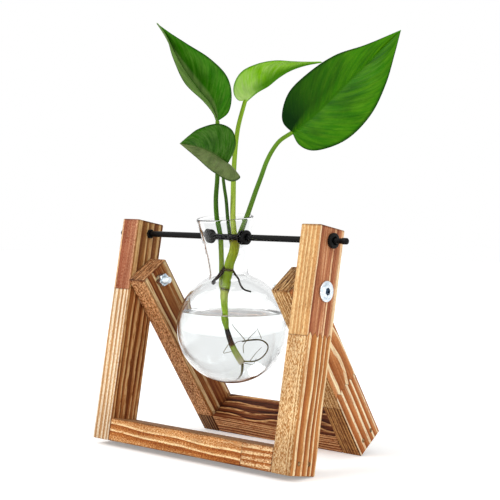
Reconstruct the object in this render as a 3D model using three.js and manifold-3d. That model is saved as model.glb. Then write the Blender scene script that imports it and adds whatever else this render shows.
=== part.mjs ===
// Hydroponic vase: a round glass bulb vase with a plant cutting in water, hung from a rod
// in a folding wooden stand made of two U-shaped frames bolted together.
// Millimetres, +Z up, X along the rod, front of the stand towards -Y.

import * as THREE from 'three';
import { mergeVertices } from 'three/addons/utils/BufferGeometryUtils.js';
import Module from 'manifold-3d';

const wasm = await Module();
wasm.setup();

const DEGREE = Math.PI / 180;
const WELD_TOLERANCE = 1e-4;

// Facets round each kind of piece
const ROUND_SIDES = 24;
const BORE_SIDES = 20;
const NAIL_SIDES = 8;
const GLASS_SIDES = 36;
const STEM_SIDES = 8;
const ROOT_SIDES = 6;

// Clearances
const FIT_GAP = 0.3;              // between pieces that touch or hold each other
const FRAME_GAP = 0.7;            // between each front post and the rear post beside it

// Wooden stand
const STOCK_THICKNESS = 16.5;     // posts, along X
const STOCK_WIDTH = 27;           // posts and bars, front to back
const BAR_HEIGHT = 16.5;          // both bottom bars
const STAND_WIDTH = 188;          // over the front posts
const FRONT_LEAN = 9.9 * DEGREE;  // the front frame leans back
const FRONT_PIVOT_UP = 122;       // bolt height along the front post
const ROD_UP = 156;               // rod height along the front post
const POST_PAST_ROD = 9;
const REAR_POST_LENGTH = 149;
const REAR_POST_PAST_PIVOT = 9;

// Brad nails through each post into the end of its bar
const NAIL_RADIUS = 0.7;
const NAIL_HEAD_LIP = 0.55;       // head past the shank
const NAIL_HEAD_LENGTH = 1.2;
const NAIL_LENGTH = 32;
const NAIL_SPACING = 11;

// Pivot bolts and nuts
const BOLT_RADIUS = 2.5;
const BOLT_HEAD_LIP = 4.6;        // head past the shank
const BOLT_HEAD_HEIGHT = 2;
const BOLT_SOCKET_RADIUS = 2.3;
const BOLT_SOCKET_DEPTH = 1.4;
const BOLT_TIP_PAST_NUT = 5;
const NUT_WALL = 1.8;             // from the thread to a flat
const NUT_THICKNESS = 5;
const EDGE_CHAMFER = 0.5;         // on nuts and bolt tips, twice this on round rims

// Rod and the rubber rings on it
const ROD_RADIUS = 2.2;
const ROD_PAST_POST = 13.5;
const ROD_WAIST_DEPTH = 0.35;     // turned groove behind each end button
const ROD_WAIST_LENGTH = 4.5;
const ROD_BUTTON_LENGTH = 4.2;
const END_RING_WALL = 2.8;
const END_RING_THICKNESS = 2.8;
const STOP_RING_WALL = 0.9;
const STOP_RING_THICKNESS = 1.6;

// Glass vase, measured from the rod axis along the vase's own axis
const VASE_LEAN = 7 * DEGREE;     // the mouth leans to the front
const GLASS_WALL = 1.4;
const RIM_UP = 14;
const RIM_FLARE = 6.5;            // rim past the narrowest part of the neck
const NECK_RADIUS = 14;           // at its narrowest
const NECK_BEND_RADIUS = 4;       // where the neck turns out into the bulb
const NECK_FLARE_POWER = 1.35;    // above 1, the neck flares more towards the rim
const BULB_RADIUS = 40;
const BULB_DOWN = 66;             // rod axis to bulb centre
const BASE_FLAT_RADIUS = 6;
const NECK_STEPS = 5;
const BEND_STEPS = 3;
const BULB_STEPS = 12;
const LIP_STEPS = 4;

// Rubber grommets in the two neck holes
const GROMMET_WALL = 1.4;         // round the rod, inside the hole
const GROMMET_FLANGE_LIP = 1;     // flanges past the hole
const GROMMET_FLANGE_OUT = 2.6;   // outer flange, past the glass
const GROMMET_FLANGE_IN = 2.4;    // inner flange, inside the glass

// Water
const WATER_ABOVE_BULB_CENTRE = 10.6;

// Plant cutting. Its leaves fan out in one upright plane through the middle of the rod.
// Points are [right, back, up] in that plane's own axes, from the middle of the rod, in
// millimetres for these two sizes. Those above the rod follow the first, those below the second.
const SHOOT_HEIGHT = 149.5;       // from the rod to the highest leaf's tip
const ROOT_ABOVE_GLASS = 5.3;     // from the bottom of the bulb to the lowest root's tip
const FAN_TURN = 40.7 * DEGREE;   // the plane, turned from X

const STEM_POINTS = [
  [6.5, 3, -2], [5.8, 3, -9.5], [2.6, 4, -19.5], [1.6, 4.5, -26], [0.6, 4, -34.5],
  [-0.8, 3, -41], [-0.6, 2, -48], [1, 1, -59.6], [2.8, 0, -67.5], [6.3, -1, -76.7], [11.3, -2, -85],
];
const STEM_TOP_RADIUS = 3.6;
const STEM_WAIST_RADIUS = 1.5;
const STEM_END_RADIUS = 2;
const STEM_WAIST_SHARE = 0.74;             // of the stem's length, from its top
const STEM_THINNING_POWER = 2.2;           // above 1, the stem stays thick for longer
const STEM_STEPS = 40;
const STEM_NODE_SWELLING = 0.35;
const STEM_NODE_SPREAD_SHARE = 0.03;       // of the stem's length
const STEM_NODE_SHARES = [0.26, 0.42, 0.7];   // of the stem's length, from its top

const PETIOLE_STEPS = 20;
const PETIOLES = [
  {
    name: 'petiole_left', radius: 2, tipRadius: 1.5,
    points: [
      [-1.2, 8.2, -41], [-2.8, 8.5, -36], [-3.2, 8.9, -28], [-3.3, 9.4, -20], [-3.8, 10.6, -9.5],
      [-4.6, 11.2, 1.5],
      [-7, 11, 12], [-8, 9.5, 26], [-7.2, 8, 41], [-7, 6, 56], [-7.5, 4, 69], [-7.5, 2, 82],
    ],
  },
  {
    name: 'petiole_front', radius: 1.4, tipRadius: 1.1,
    points: [
      [4.4, 4.4, -6.5], [3, 5, -1.5], [1.8, 5.4, 5.6], [0.8, 4.8, 13], [-0.5, 3, 26.5], [-2, 0, 36],
      [-2.6, -2, 43], [0, -4, 52],
    ],
  },
  {
    name: 'petiole_middle', radius: 2.1, tipRadius: 1.5,
    points: [
      [6.5, 3, -2], [5, 4, 8], [4.5, 5, 16], [4.5, 6.5, 29.5], [4.5, 8, 43], [5, 9, 56],
      [6, 9, 69.5], [7.5, 8, 80], [12, 6, 97.5],
    ],
  },
  {
    name: 'petiole_right', radius: 1.9, tipRadius: 1.5,
    points: [
      [8.6, 1.8, -0.5], [10.8, 1.2, 4.5], [15.2, 3, 16.5], [20.5, 5.5, 32.5], [24.2, 8, 43],
      [28, 10, 54], [32.2, 11, 62.5], [37.4, 11, 69.5], [46, 10, 75.5],
    ],
  },
];

const LEAF_THICKNESS = 0.9;
const LEAF_ROWS = 13;
const LEAF_COLUMNS = 3;           // on each side of the midrib
const LEAF_LOBE_POWER = 1.3;      // above 1, the rows fan out round the lobes at the base

// Each leaf runs from its petiole's end to its tip; its margins are [right, left] of the midrib
const LEAVES = [
  {
    name: 'leaf_left', color: 0x2f6e14,
    base: [-7.5, 2, 82], tip: [-51, -10, 149.5],
    midrib: [[-12.5, 1, 94], [-21, 0, 104], [-29.5, -2, 115], [-38.5, -4, 129], [-45.5, -7, 141.5]],
    margins: [
      [
        [0.3, -2.4, 88.2], [2.5, -8, 101], [-1, -11, 113], [-13, -12, 125], [-29, -11, 135],
        [-42.5, -10, 143.5],
      ],
      [[-12, -4, 89], [-17.5, -14, 95], [-30, -22, 106.5], [-38.5, -22, 124], [-43.5, -16, 138.5]],
    ],
  },
  {
    name: 'leaf_front', color: 0x2b5a12,
    base: [0, -4, 52], tip: [-31.5, -46, 63.5],
    midrib: [[-7.5, -13, 57.5], [-15.5, -24, 61], [-24, -36, 63]],
    margins: [
      [[4, -5, 58.5], [6, -8, 66.5], [3.5, -12, 75], [-5.5, -20, 79], [-19.5, -32, 74.5], [-26, -40, 69]],
      [[7.5, -9, 45.5], [9.5, -12, 42], [4, -17, 39], [-9, -28, 45], [-21, -39, 55]],
    ],
  },
  {
    name: 'leaf_middle', color: 0x7fae2a,
    base: [12, 6, 97.5], tip: [66, -4, 124.5],
    midrib: [[20, 5, 104], [28, 4, 108.5], [35, 3, 114], [43.5, 1, 119], [54, -1, 122.5]],
    margins: [
      [[7.5, 1, 97], [4, -5, 101], [4, -9, 107.5], [9, -12, 116], [19.5, -13, 121.5], [32.5, -11, 124.5],
        [45.5, -8, 124.5]],
      [[9.5, 12, 99], [7, 17, 105], [9, 21, 112.5], [15.5, 22, 119], [26.5, 20, 123.5], [39.5, 13, 125]],
    ],
  },
  {
    name: 'leaf_right', color: 0x2f6e14,
    base: [46, 10, 75.5], tip: [122, 1, 149],
    midrib: [[56.5, 9, 83.5], [68, 8, 94.5], [83.5, 7, 110.5], [99, 5, 125.5], [110.5, 3, 138]],
    margins: [
      [[51, 5, 66.5], [59, 2, 62.5], [70.5, -1, 64], [86, -4, 71.5], [101.5, -5, 88.5], [111.5, -4, 110],
        [117.5, -1, 131]],
      [[39.5, 7, 82], [38.5, 4, 89.5], [43, 1, 103.5], [55.5, -1, 116.5], [75, -1, 130], [97, 0, 138]],
    ],
  },
];

const ROOT_STEPS = 14;
const ROOTS = [
  {
    name: 'aerial_root_thick', radius: 1.6, tipRadius: 1.2,
    points: [[-0.6, 3.2, -22.4], [-3.2, 2.2, -26], [-6.2, 1.2, -30.2], [-9, 0.3, -33.8]],
  },
  {
    name: 'aerial_root_thin', radius: 0.8, tipRadius: 0.6,
    points: [
      [4.6, 4.2, -23.4], [6.6, 4.1, -26.6], [8.8, 3.9, -30.2], [11.4, 3.5, -35.8], [13.8, 3, -38],
      [18.2, 2, -39.2],
    ],
  },
  {
    name: 'water_root_loop', radius: 0.6, tipRadius: 0.45,
    points: [
      [12.8, -3.1, -84.2], [15.9, -6, -84.6], [19.6, -8, -84.6], [23.6, -9, -83.1], [26.6, -8, -79.9],
      [27.3, -5, -76.4], [25.4, -1, -73.8], [21.4, 2, -71.9], [15.8, 4, -72], [10.8, 5, -72.9],
    ],
  },
  {
    name: 'water_root_down', radius: 0.8, tipRadius: 0.5,
    points: [
      [11.7, -2.1, -86], [11.7, -2.8, -89.4], [11.2, -3.4, -93.3], [9.8, -3.8, -96.7], [7.9, -4, -99.3],
    ],
  },
];

// Values worked out from the driving sizes
const halfWidth = STOCK_WIDTH / 2;
const frontReach = Math.hypot(FRONT_PIVOT_UP, halfWidth);
const rearPivotUp = REAR_POST_LENGTH - REAR_POST_PAST_PIVOT;
const rearReach = Math.hypot(rearPivotUp, halfWidth);
const pivotHeight = frontReach * Math.cos(FRONT_LEAN - Math.atan(halfWidth / FRONT_PIVOT_UP));
const rearLean = Math.acos(pivotHeight / rearReach) + Math.atan(halfWidth / rearPivotUp);
const postOuterX = STAND_WIDTH / 2;
const postInnerX = postOuterX - STOCK_THICKNESS;
const frontPostX = postOuterX - STOCK_THICKNESS / 2;
const rearPostX = frontPostX - STOCK_THICKNESS - FRAME_GAP;
const nutSeatX = rearPostX - STOCK_THICKNESS / 2;
const rodAbovePivot = ROD_UP - FRONT_PIVOT_UP;
const frontPostLength = ROD_UP + POST_PAST_ROD;
const rimRadius = NECK_RADIUS + RIM_FLARE;
const neckHoleRadius = ROD_RADIUS + FIT_GAP + GROMMET_WALL + FIT_GAP;
const highestTip = Math.max(...LEAVES.map(({ tip }) => tip[2]));
const lowestRoot = Math.min(...ROOTS.flatMap(({ points }) => points.map(([, , up]) => up)));
const shootUnit = SHOOT_HEIGHT / highestTip;
const rootUnit = (BULB_DOWN + BULB_RADIUS - GLASS_WALL - ROOT_ABOVE_GLASS) / -lowestRoot;

// Solids for joining and cutting

function toSolid(geometry, matrix = new THREE.Matrix4()) {
  const bare = (geometry.index ? geometry.toNonIndexed() : geometry.clone()).applyMatrix4(matrix);
  for (const name of Object.keys(bare.attributes)) {
    if (name !== 'position') bare.deleteAttribute(name);
  }
  const merged = mergeVertices(bare, WELD_TOLERANCE);
  const triangles = [];
  for (let i = 0; i < merged.index.count; i += 3) {
    const [a, b, c] = [0, 1, 2].map((k) => merged.index.getX(i + k));
    if (a !== b && b !== c && a !== c) triangles.push(a, b, c);
  }
  return new wasm.Manifold(new wasm.Mesh({
    numProp: 3,
    vertProperties: new Float32Array(merged.attributes.position.array),
    triVerts: new Uint32Array(triangles),
  }));
}

function toGeometry(manifold) {
  const mesh = manifold.getMesh();
  const geometry = new THREE.BufferGeometry();
  geometry.setAttribute('position', new THREE.BufferAttribute(mesh.vertProperties, 3));
  geometry.setIndex(new THREE.BufferAttribute(mesh.triVerts, 1));
  geometry.computeVertexNormals();
  return geometry;
}

function cut(geometry, ...tools) {
  return toGeometry(tools.reduce((body, tool) => body.subtract(toSolid(tool)), toSolid(geometry)));
}

// A solid turned about the X axis from [radius, x] points that start and end on the axis
function turnedAlongX(profile, sides) {
  const lathe = new THREE.LatheGeometry(profile.map(([radius, x]) => new THREE.Vector2(radius, x)), sides);
  return lathe.rotateZ(-Math.PI / 2);
}

// A solid turned about the Z axis from [radius, z] points that start and end on the axis
function turnedAlongZ(profile, sides) {
  const lathe = new THREE.LatheGeometry(profile.map(([radius, z]) => new THREE.Vector2(radius, z)), sides);
  return lathe.rotateX(Math.PI / 2);
}

function rodAlongX(radius, fromX, toX, sides = BORE_SIDES) {
  return turnedAlongX([[0, fromX], [radius, fromX], [radius, toX], [0, toX]], sides);
}

// A ring about X with rounded rims, open along the middle for the rod
function ringAlongX(radius, bore, fromX, toX) {
  const rim = Math.min(EDGE_CHAMFER * 2, (toX - fromX) / 3);
  const profile = [
    [bore, fromX], [radius - rim, fromX], [radius, fromX + rim], [radius, toX - rim],
    [radius - rim, toX], [bore, toX], [bore, fromX],
  ];
  return turnedAlongX(profile, ROUND_SIDES);
}

// Groups: each sits where its pieces are easiest to describe

const assembly = new THREE.Group();
const frontFrame = new THREE.Group();
const rearFrame = new THREE.Group();
const rodGroup = new THREE.Group();
const vaseGroup = new THREE.Group();
const plantGroup = new THREE.Group();
assembly.add(frontFrame, rearFrame, vaseGroup, plantGroup);
frontFrame.add(rodGroup);
frontFrame.position.z = pivotHeight;
frontFrame.rotation.x = -FRONT_LEAN;
rearFrame.position.z = pivotHeight;
rearFrame.rotation.x = rearLean;
rodGroup.position.z = rodAbovePivot;
assembly.updateMatrixWorld(true);
const rodCentre = rodGroup.getWorldPosition(new THREE.Vector3());
vaseGroup.position.copy(rodCentre);
vaseGroup.rotation.x = VASE_LEAN;
plantGroup.position.copy(rodCentre);
plantGroup.rotation.z = FAN_TURN;
assembly.updateMatrixWorld(true);

// Finishes
const finish = (color, roughness, metalness = 0, opacity = 1) => new THREE.MeshStandardMaterial({
  color, roughness, metalness, opacity, transparent: opacity < 1,
});
const scorchedPine = () => finish(0xa9713f, 0.65);
const zincSteel = () => finish(0xc9ced2, 0.3, 0.9);
const blackRubber = () => finish(0x141414, 0.8);
const greenStem = () => finish(0x6f8f22, 0.5);

function add(group, name, geometry, material) {
  const mesh = new THREE.Mesh(geometry, material);
  mesh.name = name;
  group.add(mesh);
  return mesh;
}

// Wooden frames

// Nails are drawn along X, pointing to -X, with the outer face of the post at X = 0

function nail() {
  const headRadius = NAIL_RADIUS + NAIL_HEAD_LIP;
  return turnedAlongX([
    [0, -NAIL_LENGTH], [NAIL_RADIUS, 2 * NAIL_RADIUS - NAIL_LENGTH], [NAIL_RADIUS, -NAIL_HEAD_LENGTH],
    [headRadius, -NAIL_HEAD_LENGTH / 2], [headRadius, 0], [0, 0],
  ], NAIL_SIDES);
}

function nailHole() {
  const headRadius = NAIL_RADIUS + NAIL_HEAD_LIP + FIT_GAP;
  const shank = rodAlongX(NAIL_RADIUS + FIT_GAP, -NAIL_LENGTH - FIT_GAP, FIT_GAP, NAIL_SIDES);
  const head = rodAlongX(headRadius, -NAIL_HEAD_LENGTH - FIT_GAP, FIT_GAP, NAIL_SIDES);
  return toGeometry(toSolid(shank).add(toSolid(head)));
}

// Both nails, or both holes, of one side of a frame, moved to their places
function nailPair(draw, sign, outerX, pivotUp) {
  return [-1, 1].map((step) => {
    const geometry = draw();
    if (sign < 0) geometry.rotateZ(Math.PI);
    return geometry.translate(sign * outerX, step * NAIL_SPACING / 2, BAR_HEIGHT / 2 - pivotUp);
  });
}

function addWoodenFrame(group, label, length, pivotUp, postX, extraHoles) {
  const outerX = postX + STOCK_THICKNESS / 2;
  const barLength = 2 * (postX - STOCK_THICKNESS / 2 - FIT_GAP);
  const sides = [['left', -1], ['right', 1]];
  const nailHoles = sides.flatMap(([, sign]) => nailPair(nailHole, sign, outerX, pivotUp));
  const boltHole = rodAlongX(BOLT_RADIUS + FIT_GAP, -STAND_WIDTH, STAND_WIDTH);
  for (const [word, sign] of sides) {
    const post = new THREE.BoxGeometry(STOCK_THICKNESS, STOCK_WIDTH, length);
    post.translate(sign * postX, 0, length / 2 - pivotUp);
    const drilled = cut(post, boltHole, ...extraHoles, ...nailHoles);
    add(group, `${label}_${word}_post`, drilled, scorchedPine());
    nailPair(nail, sign, outerX, pivotUp).forEach((geometry, index) => {
      add(group, `${label}_${word}_nail_${index + 1}`, geometry, zincSteel());
    });
  }
  const bar = new THREE.BoxGeometry(barLength, STOCK_WIDTH, BAR_HEIGHT);
  bar.translate(0, 0, BAR_HEIGHT / 2 - pivotUp);
  add(group, `${label}_bar`, cut(bar, ...nailHoles), scorchedPine());
}

function addStand() {
  const rodHole = rodAlongX(ROD_RADIUS + FIT_GAP, -STAND_WIDTH, STAND_WIDTH);
  rodHole.translate(0, 0, rodAbovePivot);
  addWoodenFrame(frontFrame, 'front', frontPostLength, FRONT_PIVOT_UP, frontPostX, [rodHole]);
  addWoodenFrame(rearFrame, 'rear', REAR_POST_LENGTH, rearPivotUp, rearPostX, []);
}

// Pivot hardware, drawn for the right side and turned round for the left

function pivotBolt() {
  const headFrom = postOuterX + FIT_GAP;
  const headTo = headFrom + BOLT_HEAD_HEIGHT;
  const headRadius = BOLT_RADIUS + BOLT_HEAD_LIP;
  const tip = nutSeatX - FIT_GAP - NUT_THICKNESS - BOLT_TIP_PAST_NUT;
  const body = turnedAlongX([
    [0, tip], [BOLT_RADIUS - EDGE_CHAMFER, tip], [BOLT_RADIUS, tip + EDGE_CHAMFER], [BOLT_RADIUS, headFrom],
    [headRadius, headFrom], [headRadius, headTo - 2 * EDGE_CHAMFER],
    [headRadius - 2 * EDGE_CHAMFER, headTo], [0, headTo],
  ], ROUND_SIDES);
  const socket = rodAlongX(BOLT_SOCKET_RADIUS, headTo - BOLT_SOCKET_DEPTH, headTo + FIT_GAP, 6);
  return cut(body, socket);
}

function hexNut() {
  const from = nutSeatX - FIT_GAP;
  const to = from - NUT_THICKNESS;
  const flat = BOLT_RADIUS + NUT_WALL;
  const corner = flat / Math.cos(Math.PI / 6);
  const bore = BOLT_RADIUS + FIT_GAP;
  const hexagon = rodAlongX(corner, to, from, 6);
  const dome = turnedAlongX([
    [0, to], [flat, to], [corner, to + EDGE_CHAMFER], [corner, from], [0, from],
  ], ROUND_SIDES);
  const blank = toGeometry(toSolid(hexagon).intersect(toSolid(dome)));
  return cut(blank, rodAlongX(bore, to - FIT_GAP, from + FIT_GAP));
}

function addPivots() {
  for (const [word, turn] of [['left', Math.PI], ['right', 0]]) {
    add(frontFrame, `bolt_${word}`, pivotBolt().rotateZ(turn), zincSteel());
    add(frontFrame, `nut_${word}`, hexNut().rotateZ(turn), zincSteel());
  }
}

// Rod with its end buttons, end rings outside the posts and stop rings inside them

function rodSolid() {
  const end = postOuterX + ROD_PAST_POST;
  const buttonFrom = end - ROD_BUTTON_LENGTH;
  const waistFrom = buttonFrom - ROD_WAIST_LENGTH;
  const waist = ROD_RADIUS - ROD_WAIST_DEPTH;
  const half = [
    [ROD_RADIUS, waistFrom], [waist, waistFrom + ROD_WAIST_DEPTH], [waist, buttonFrom - ROD_WAIST_DEPTH],
    [ROD_RADIUS, buttonFrom], [ROD_RADIUS, end - ROD_RADIUS / 2], [ROD_RADIUS / 2, end], [0, end],
  ];
  const mirrored = half.map(([radius, x]) => [radius, -x]).reverse();
  return turnedAlongX([...mirrored, ...half], BORE_SIDES);
}

function addRod() {
  add(rodGroup, 'rod', rodSolid(), finish(0x17181a, 0.4, 0.3));
  const bore = ROD_RADIUS + FIT_GAP;
  const endFrom = postOuterX + FIT_GAP;
  const stopTo = postInnerX - FIT_GAP;
  for (const [word, turn] of [['left', Math.PI], ['right', 0]]) {
    const endRing = ringAlongX(bore + END_RING_WALL, bore, endFrom, endFrom + END_RING_THICKNESS);
    add(rodGroup, `rod_end_ring_${word}`, endRing.rotateZ(turn), blackRubber());
    const stopRing = ringAlongX(bore + STOP_RING_WALL, bore, stopTo - STOP_RING_THICKNESS, stopTo);
    add(rodGroup, `rod_stop_ring_${word}`, stopRing.rotateZ(turn), blackRubber());
  }
}

// Glass vase. The surface at a depth of inset under the outer face, from the rim down

function neckRadius(up) {
  const neckUp = neckBend().up;
  const share = Math.max(0, up - neckUp) / (RIM_UP - neckUp);
  return NECK_RADIUS + RIM_FLARE * share ** NECK_FLARE_POWER;
}

// Centre of the round where the neck turns out into the bulb
function neckBend() {
  const out = NECK_RADIUS + NECK_BEND_RADIUS;
  const above = Math.sqrt((BULB_RADIUS + NECK_BEND_RADIUS) ** 2 - out ** 2);
  return { out, above, up: above - BULB_DOWN };
}

function vaseSurface(inset, top) {
  const bend = neckBend();
  const points = [];
  for (let i = 0; i < NECK_STEPS; i += 1) {
    const up = top + (bend.up - top) * (i / NECK_STEPS);
    points.push([neckRadius(up) - inset, up]);
  }
  const bendRadius = NECK_BEND_RADIUS + inset;
  const bendEnd = Math.atan2(bend.above, bend.out);
  for (let i = 0; i <= BEND_STEPS; i += 1) {
    const angle = bendEnd * (i / BEND_STEPS);
    points.push([bend.out - bendRadius * Math.cos(angle), bend.up - bendRadius * Math.sin(angle)]);
  }
  const radius = BULB_RADIUS - inset;
  for (let i = 1; i <= BULB_STEPS; i += 1) {
    const angle = bendEnd - (bendEnd + Math.PI / 2) * (i / BULB_STEPS);
    points.push([radius * Math.cos(angle), radius * Math.sin(angle) - BULB_DOWN]);
  }
  points[points.length - 1][0] = 0;
  return points;
}

// The space inside a surface of the vase, as one filled solid from its bottom up to top
function vaseFill(inset, top) {
  const surface = vaseSurface(inset, top);
  return turnedAlongZ([...surface.reverse(), [0, top]], GLASS_SIDES);
}

function glassVase() {
  const lip = GLASS_WALL / 2;
  const top = RIM_UP - lip;
  const flat = Math.sqrt(BULB_RADIUS ** 2 - BASE_FLAT_RADIUS ** 2);
  const outside = vaseSurface(0, top).filter(([radius]) => radius > BASE_FLAT_RADIUS);
  const inside = vaseSurface(GLASS_WALL, top);
  const lipRound = [];
  for (let i = 1; i < LIP_STEPS; i += 1) {
    const angle = Math.PI * (i / LIP_STEPS);
    lipRound.push([neckRadius(top) - lip - lip * Math.cos(angle), top + lip * Math.sin(angle)]);
  }
  const base = [[BASE_FLAT_RADIUS, -flat - BULB_DOWN], [0, -flat - BULB_DOWN]];
  const profile = [...inside.reverse(), ...lipRound, ...outside, ...base];
  const shell = turnedAlongZ(profile.reverse(), GLASS_SIDES);
  const holes = rodAlongX(neckHoleRadius, -2 * rimRadius, 2 * rimRadius);
  return cut(shell, holes);
}

// A grommet for the right-hand hole, its flanges moulded to the glass on both sides
function neckGrommet() {
  const fillTop = RIM_UP - GLASS_WALL;
  const outerFill = toSolid(vaseFill(-FIT_GAP, fillTop));
  const innerFill = toSolid(vaseFill(GLASS_WALL + FIT_GAP, fillTop));
  const seat = neckRadius(0);
  const inEdge = seat - GLASS_WALL - GROMMET_FLANGE_IN;
  const outEdge = seat + GROMMET_FLANGE_OUT;
  const rim = 2 * EDGE_CHAMFER;
  const radius = neckHoleRadius + GROMMET_FLANGE_LIP;
  const buried = seat - radius / 2;
  const outer = toSolid(turnedAlongX([
    [0, buried], [radius, buried], [radius, outEdge - rim], [radius - rim, outEdge], [0, outEdge],
  ], ROUND_SIDES));
  const inner = toSolid(turnedAlongX([
    [0, inEdge], [radius - rim, inEdge], [radius, inEdge + rim], [radius, seat], [0, seat],
  ], ROUND_SIDES));
  const hub = toSolid(rodAlongX(neckHoleRadius - FIT_GAP, inEdge, outEdge - rim));
  const bore = toSolid(rodAlongX(ROD_RADIUS + FIT_GAP, inEdge - FIT_GAP, outEdge + FIT_GAP));
  return toGeometry(outer.subtract(outerFill).add(inner.intersect(innerFill)).add(hub).subtract(bore));
}

function addVase() {
  add(vaseGroup, 'glass_vase', glassVase(), finish(0xf2f6f8, 0.05, 0, 0.3));
  for (const [word, turn] of [['left', Math.PI], ['right', 0]]) {
    add(vaseGroup, `neck_grommet_${word}`, neckGrommet().rotateZ(turn), blackRubber());
  }
}

// Plant cutting

const plantUnit = ([, , up]) => (up > 0 ? shootUnit : rootUnit);

const plantCurve = (points) => new THREE.CatmullRomCurve3(
  points.map((point) => new THREE.Vector3(...point).multiplyScalar(plantUnit(point))),
);

// A round, tapering solid along a smooth curve through the points
function taperedTube(points, radiusAt, steps, sides, grow = 0) {
  const curve = plantCurve(points);
  const frames = curve.computeFrenetFrames(steps, false);
  const positions = [];
  for (let i = 0; i <= steps; i += 1) {
    const share = i / steps;
    const centre = curve.getPointAt(share);
    if (i === 0) centre.addScaledVector(frames.tangents[i], -grow);
    if (i === steps) centre.addScaledVector(frames.tangents[i], grow);
    for (let k = 0; k < sides; k += 1) {
      const angle = (2 * Math.PI * k) / sides;
      const point = centre.clone();
      point.addScaledVector(frames.normals[i], (radiusAt(share) + grow) * Math.cos(angle));
      point.addScaledVector(frames.binormals[i], (radiusAt(share) + grow) * Math.sin(angle));
      positions.push(...point.toArray());
    }
  }
  const index = [];
  for (let i = 0; i < steps; i += 1) {
    for (let k = 0; k < sides; k += 1) {
      const [a, b] = [i * sides + k, i * sides + ((k + 1) % sides)];
      index.push(a, b, b + sides, a, b + sides, a + sides);
    }
  }
  const last = steps * sides;
  for (let k = 1; k < sides - 1; k += 1) {
    index.push(0, k + 1, k, last, last + k, last + k + 1);
  }
  const geometry = new THREE.BufferGeometry();
  geometry.setAttribute('position', new THREE.Float32BufferAttribute(positions, 3));
  geometry.setIndex(index);
  return geometry;
}

const taper = (from, to) => (share) => from + (to - from) * share;

function stemRadius(share) {
  const steps = STEM_NODE_SHARES.map((at) => (share - at) / STEM_NODE_SPREAD_SHARE);
  const swelling = Math.max(...steps.map((step) => Math.exp(-(step ** 2))));
  const thinning = Math.min(1, share / STEM_WAIST_SHARE) ** STEM_THINNING_POWER;
  const regrowth = Math.max(0, share - STEM_WAIST_SHARE) / (1 - STEM_WAIST_SHARE);
  const thinned = taper(STEM_TOP_RADIUS, STEM_WAIST_RADIUS)(thinning);
  return thinned + (STEM_END_RADIUS - STEM_WAIST_RADIUS) * regrowth + STEM_NODE_SWELLING * swelling;
}

const stemTube = (grow = 0) => taperedTube(STEM_POINTS, stemRadius, STEM_STEPS, STEM_SIDES, grow);

function branchTube({ points, radius, tipRadius }, steps, sides, grow = 0) {
  const radiusAt = taper(radius * plantUnit(points[0]), tipRadius * plantUnit(points.at(-1)));
  return taperedTube(points, radiusAt, steps, sides, grow);
}

const petioleTube = (petiole, grow) => branchTube(petiole, PETIOLE_STEPS, STEM_SIDES, grow);
const rootTube = (root, grow) => branchTube(root, ROOT_STEPS, ROOT_SIDES, grow);

// A thin leaf blade: two halves that meet at the midrib, each spanned out to its own margin
function leafBlade({ base, tip, midrib, margins }) {
  const midribCurve = plantCurve([base, ...midrib, tip]);
  const marginCurves = margins.map((margin) => plantCurve([base, ...margin, tip]));

  function surfacePoint(row, column) {
    const share = row / LEAF_ROWS;
    const margin = marginCurves[column < 0 ? 1 : 0].getPointAt(share);
    const inner = midribCurve.getPointAt(share ** LEAF_LOBE_POWER);
    return inner.lerp(margin, Math.abs(column) / LEAF_COLUMNS);
  }

  const width = 2 * LEAF_COLUMNS + 1;
  const surface = [];
  for (let row = 1; row < LEAF_ROWS; row += 1) {
    for (let column = -LEAF_COLUMNS; column <= LEAF_COLUMNS; column += 1) {
      surface.push(surfacePoint(row, column));
    }
  }
  const at = (row, column) => surface[row * width + column];
  const rows = LEAF_ROWS - 1;
  const normals = surface.map((_, i) => {
    const [row, column] = [Math.floor(i / width), i % width];
    const down = at(Math.min(row + 1, rows - 1), column).clone().sub(at(Math.max(row - 1, 0), column));
    const across = at(row, Math.min(column + 1, width - 1)).clone().sub(at(row, Math.max(column - 1, 0)));
    return across.cross(down).normalize();
  });
  const positions = [...midribCurve.getPoint(0).toArray(), ...midribCurve.getPoint(1).toArray()];
  const upper = [];
  const lower = [];
  surface.forEach((point, i) => {
    const column = i % width;
    const isMargin = column === 0 || column === width - 1;
    const half = isMargin ? 0 : LEAF_THICKNESS / 2;
    upper.push(positions.length / 3);
    positions.push(...point.clone().addScaledVector(normals[i], half).toArray());
    if (isMargin) {
      lower.push(upper[i]);
      return;
    }
    lower.push(positions.length / 3);
    positions.push(...point.clone().addScaledVector(normals[i], -half).toArray());
  });
  const index = [];
  for (const [sheet, flip] of [[upper, true], [lower, false]]) {
    const push = (a, b, c) => (flip ? index.push(a, c, b) : index.push(a, b, c));
    for (let column = 0; column < width - 1; column += 1) {
      push(0, sheet[column], sheet[column + 1]);
      for (let row = 0; row < rows - 1; row += 1) {
        const a = row * width + column;
        push(sheet[a], sheet[a + width], sheet[a + width + 1]);
        push(sheet[a], sheet[a + width + 1], sheet[a + 1]);
      }
      const last = (rows - 1) * width + column;
      push(sheet[last], 1, sheet[last + 1]);
    }
  }
  const geometry = new THREE.BufferGeometry();
  geometry.setAttribute('position', new THREE.Float32BufferAttribute(positions, 3));
  geometry.setIndex(index);
  return geometry;
}

// What of a root lies inside the glass
function insideVase(geometry) {
  const toPlantAxes = plantGroup.matrixWorld.clone().invert().multiply(vaseGroup.matrixWorld);
  const space = toSolid(vaseFill(GLASS_WALL + FIT_GAP, RIM_UP - GLASS_WALL), toPlantAxes);
  return toGeometry(toSolid(geometry).intersect(space));
}

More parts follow.
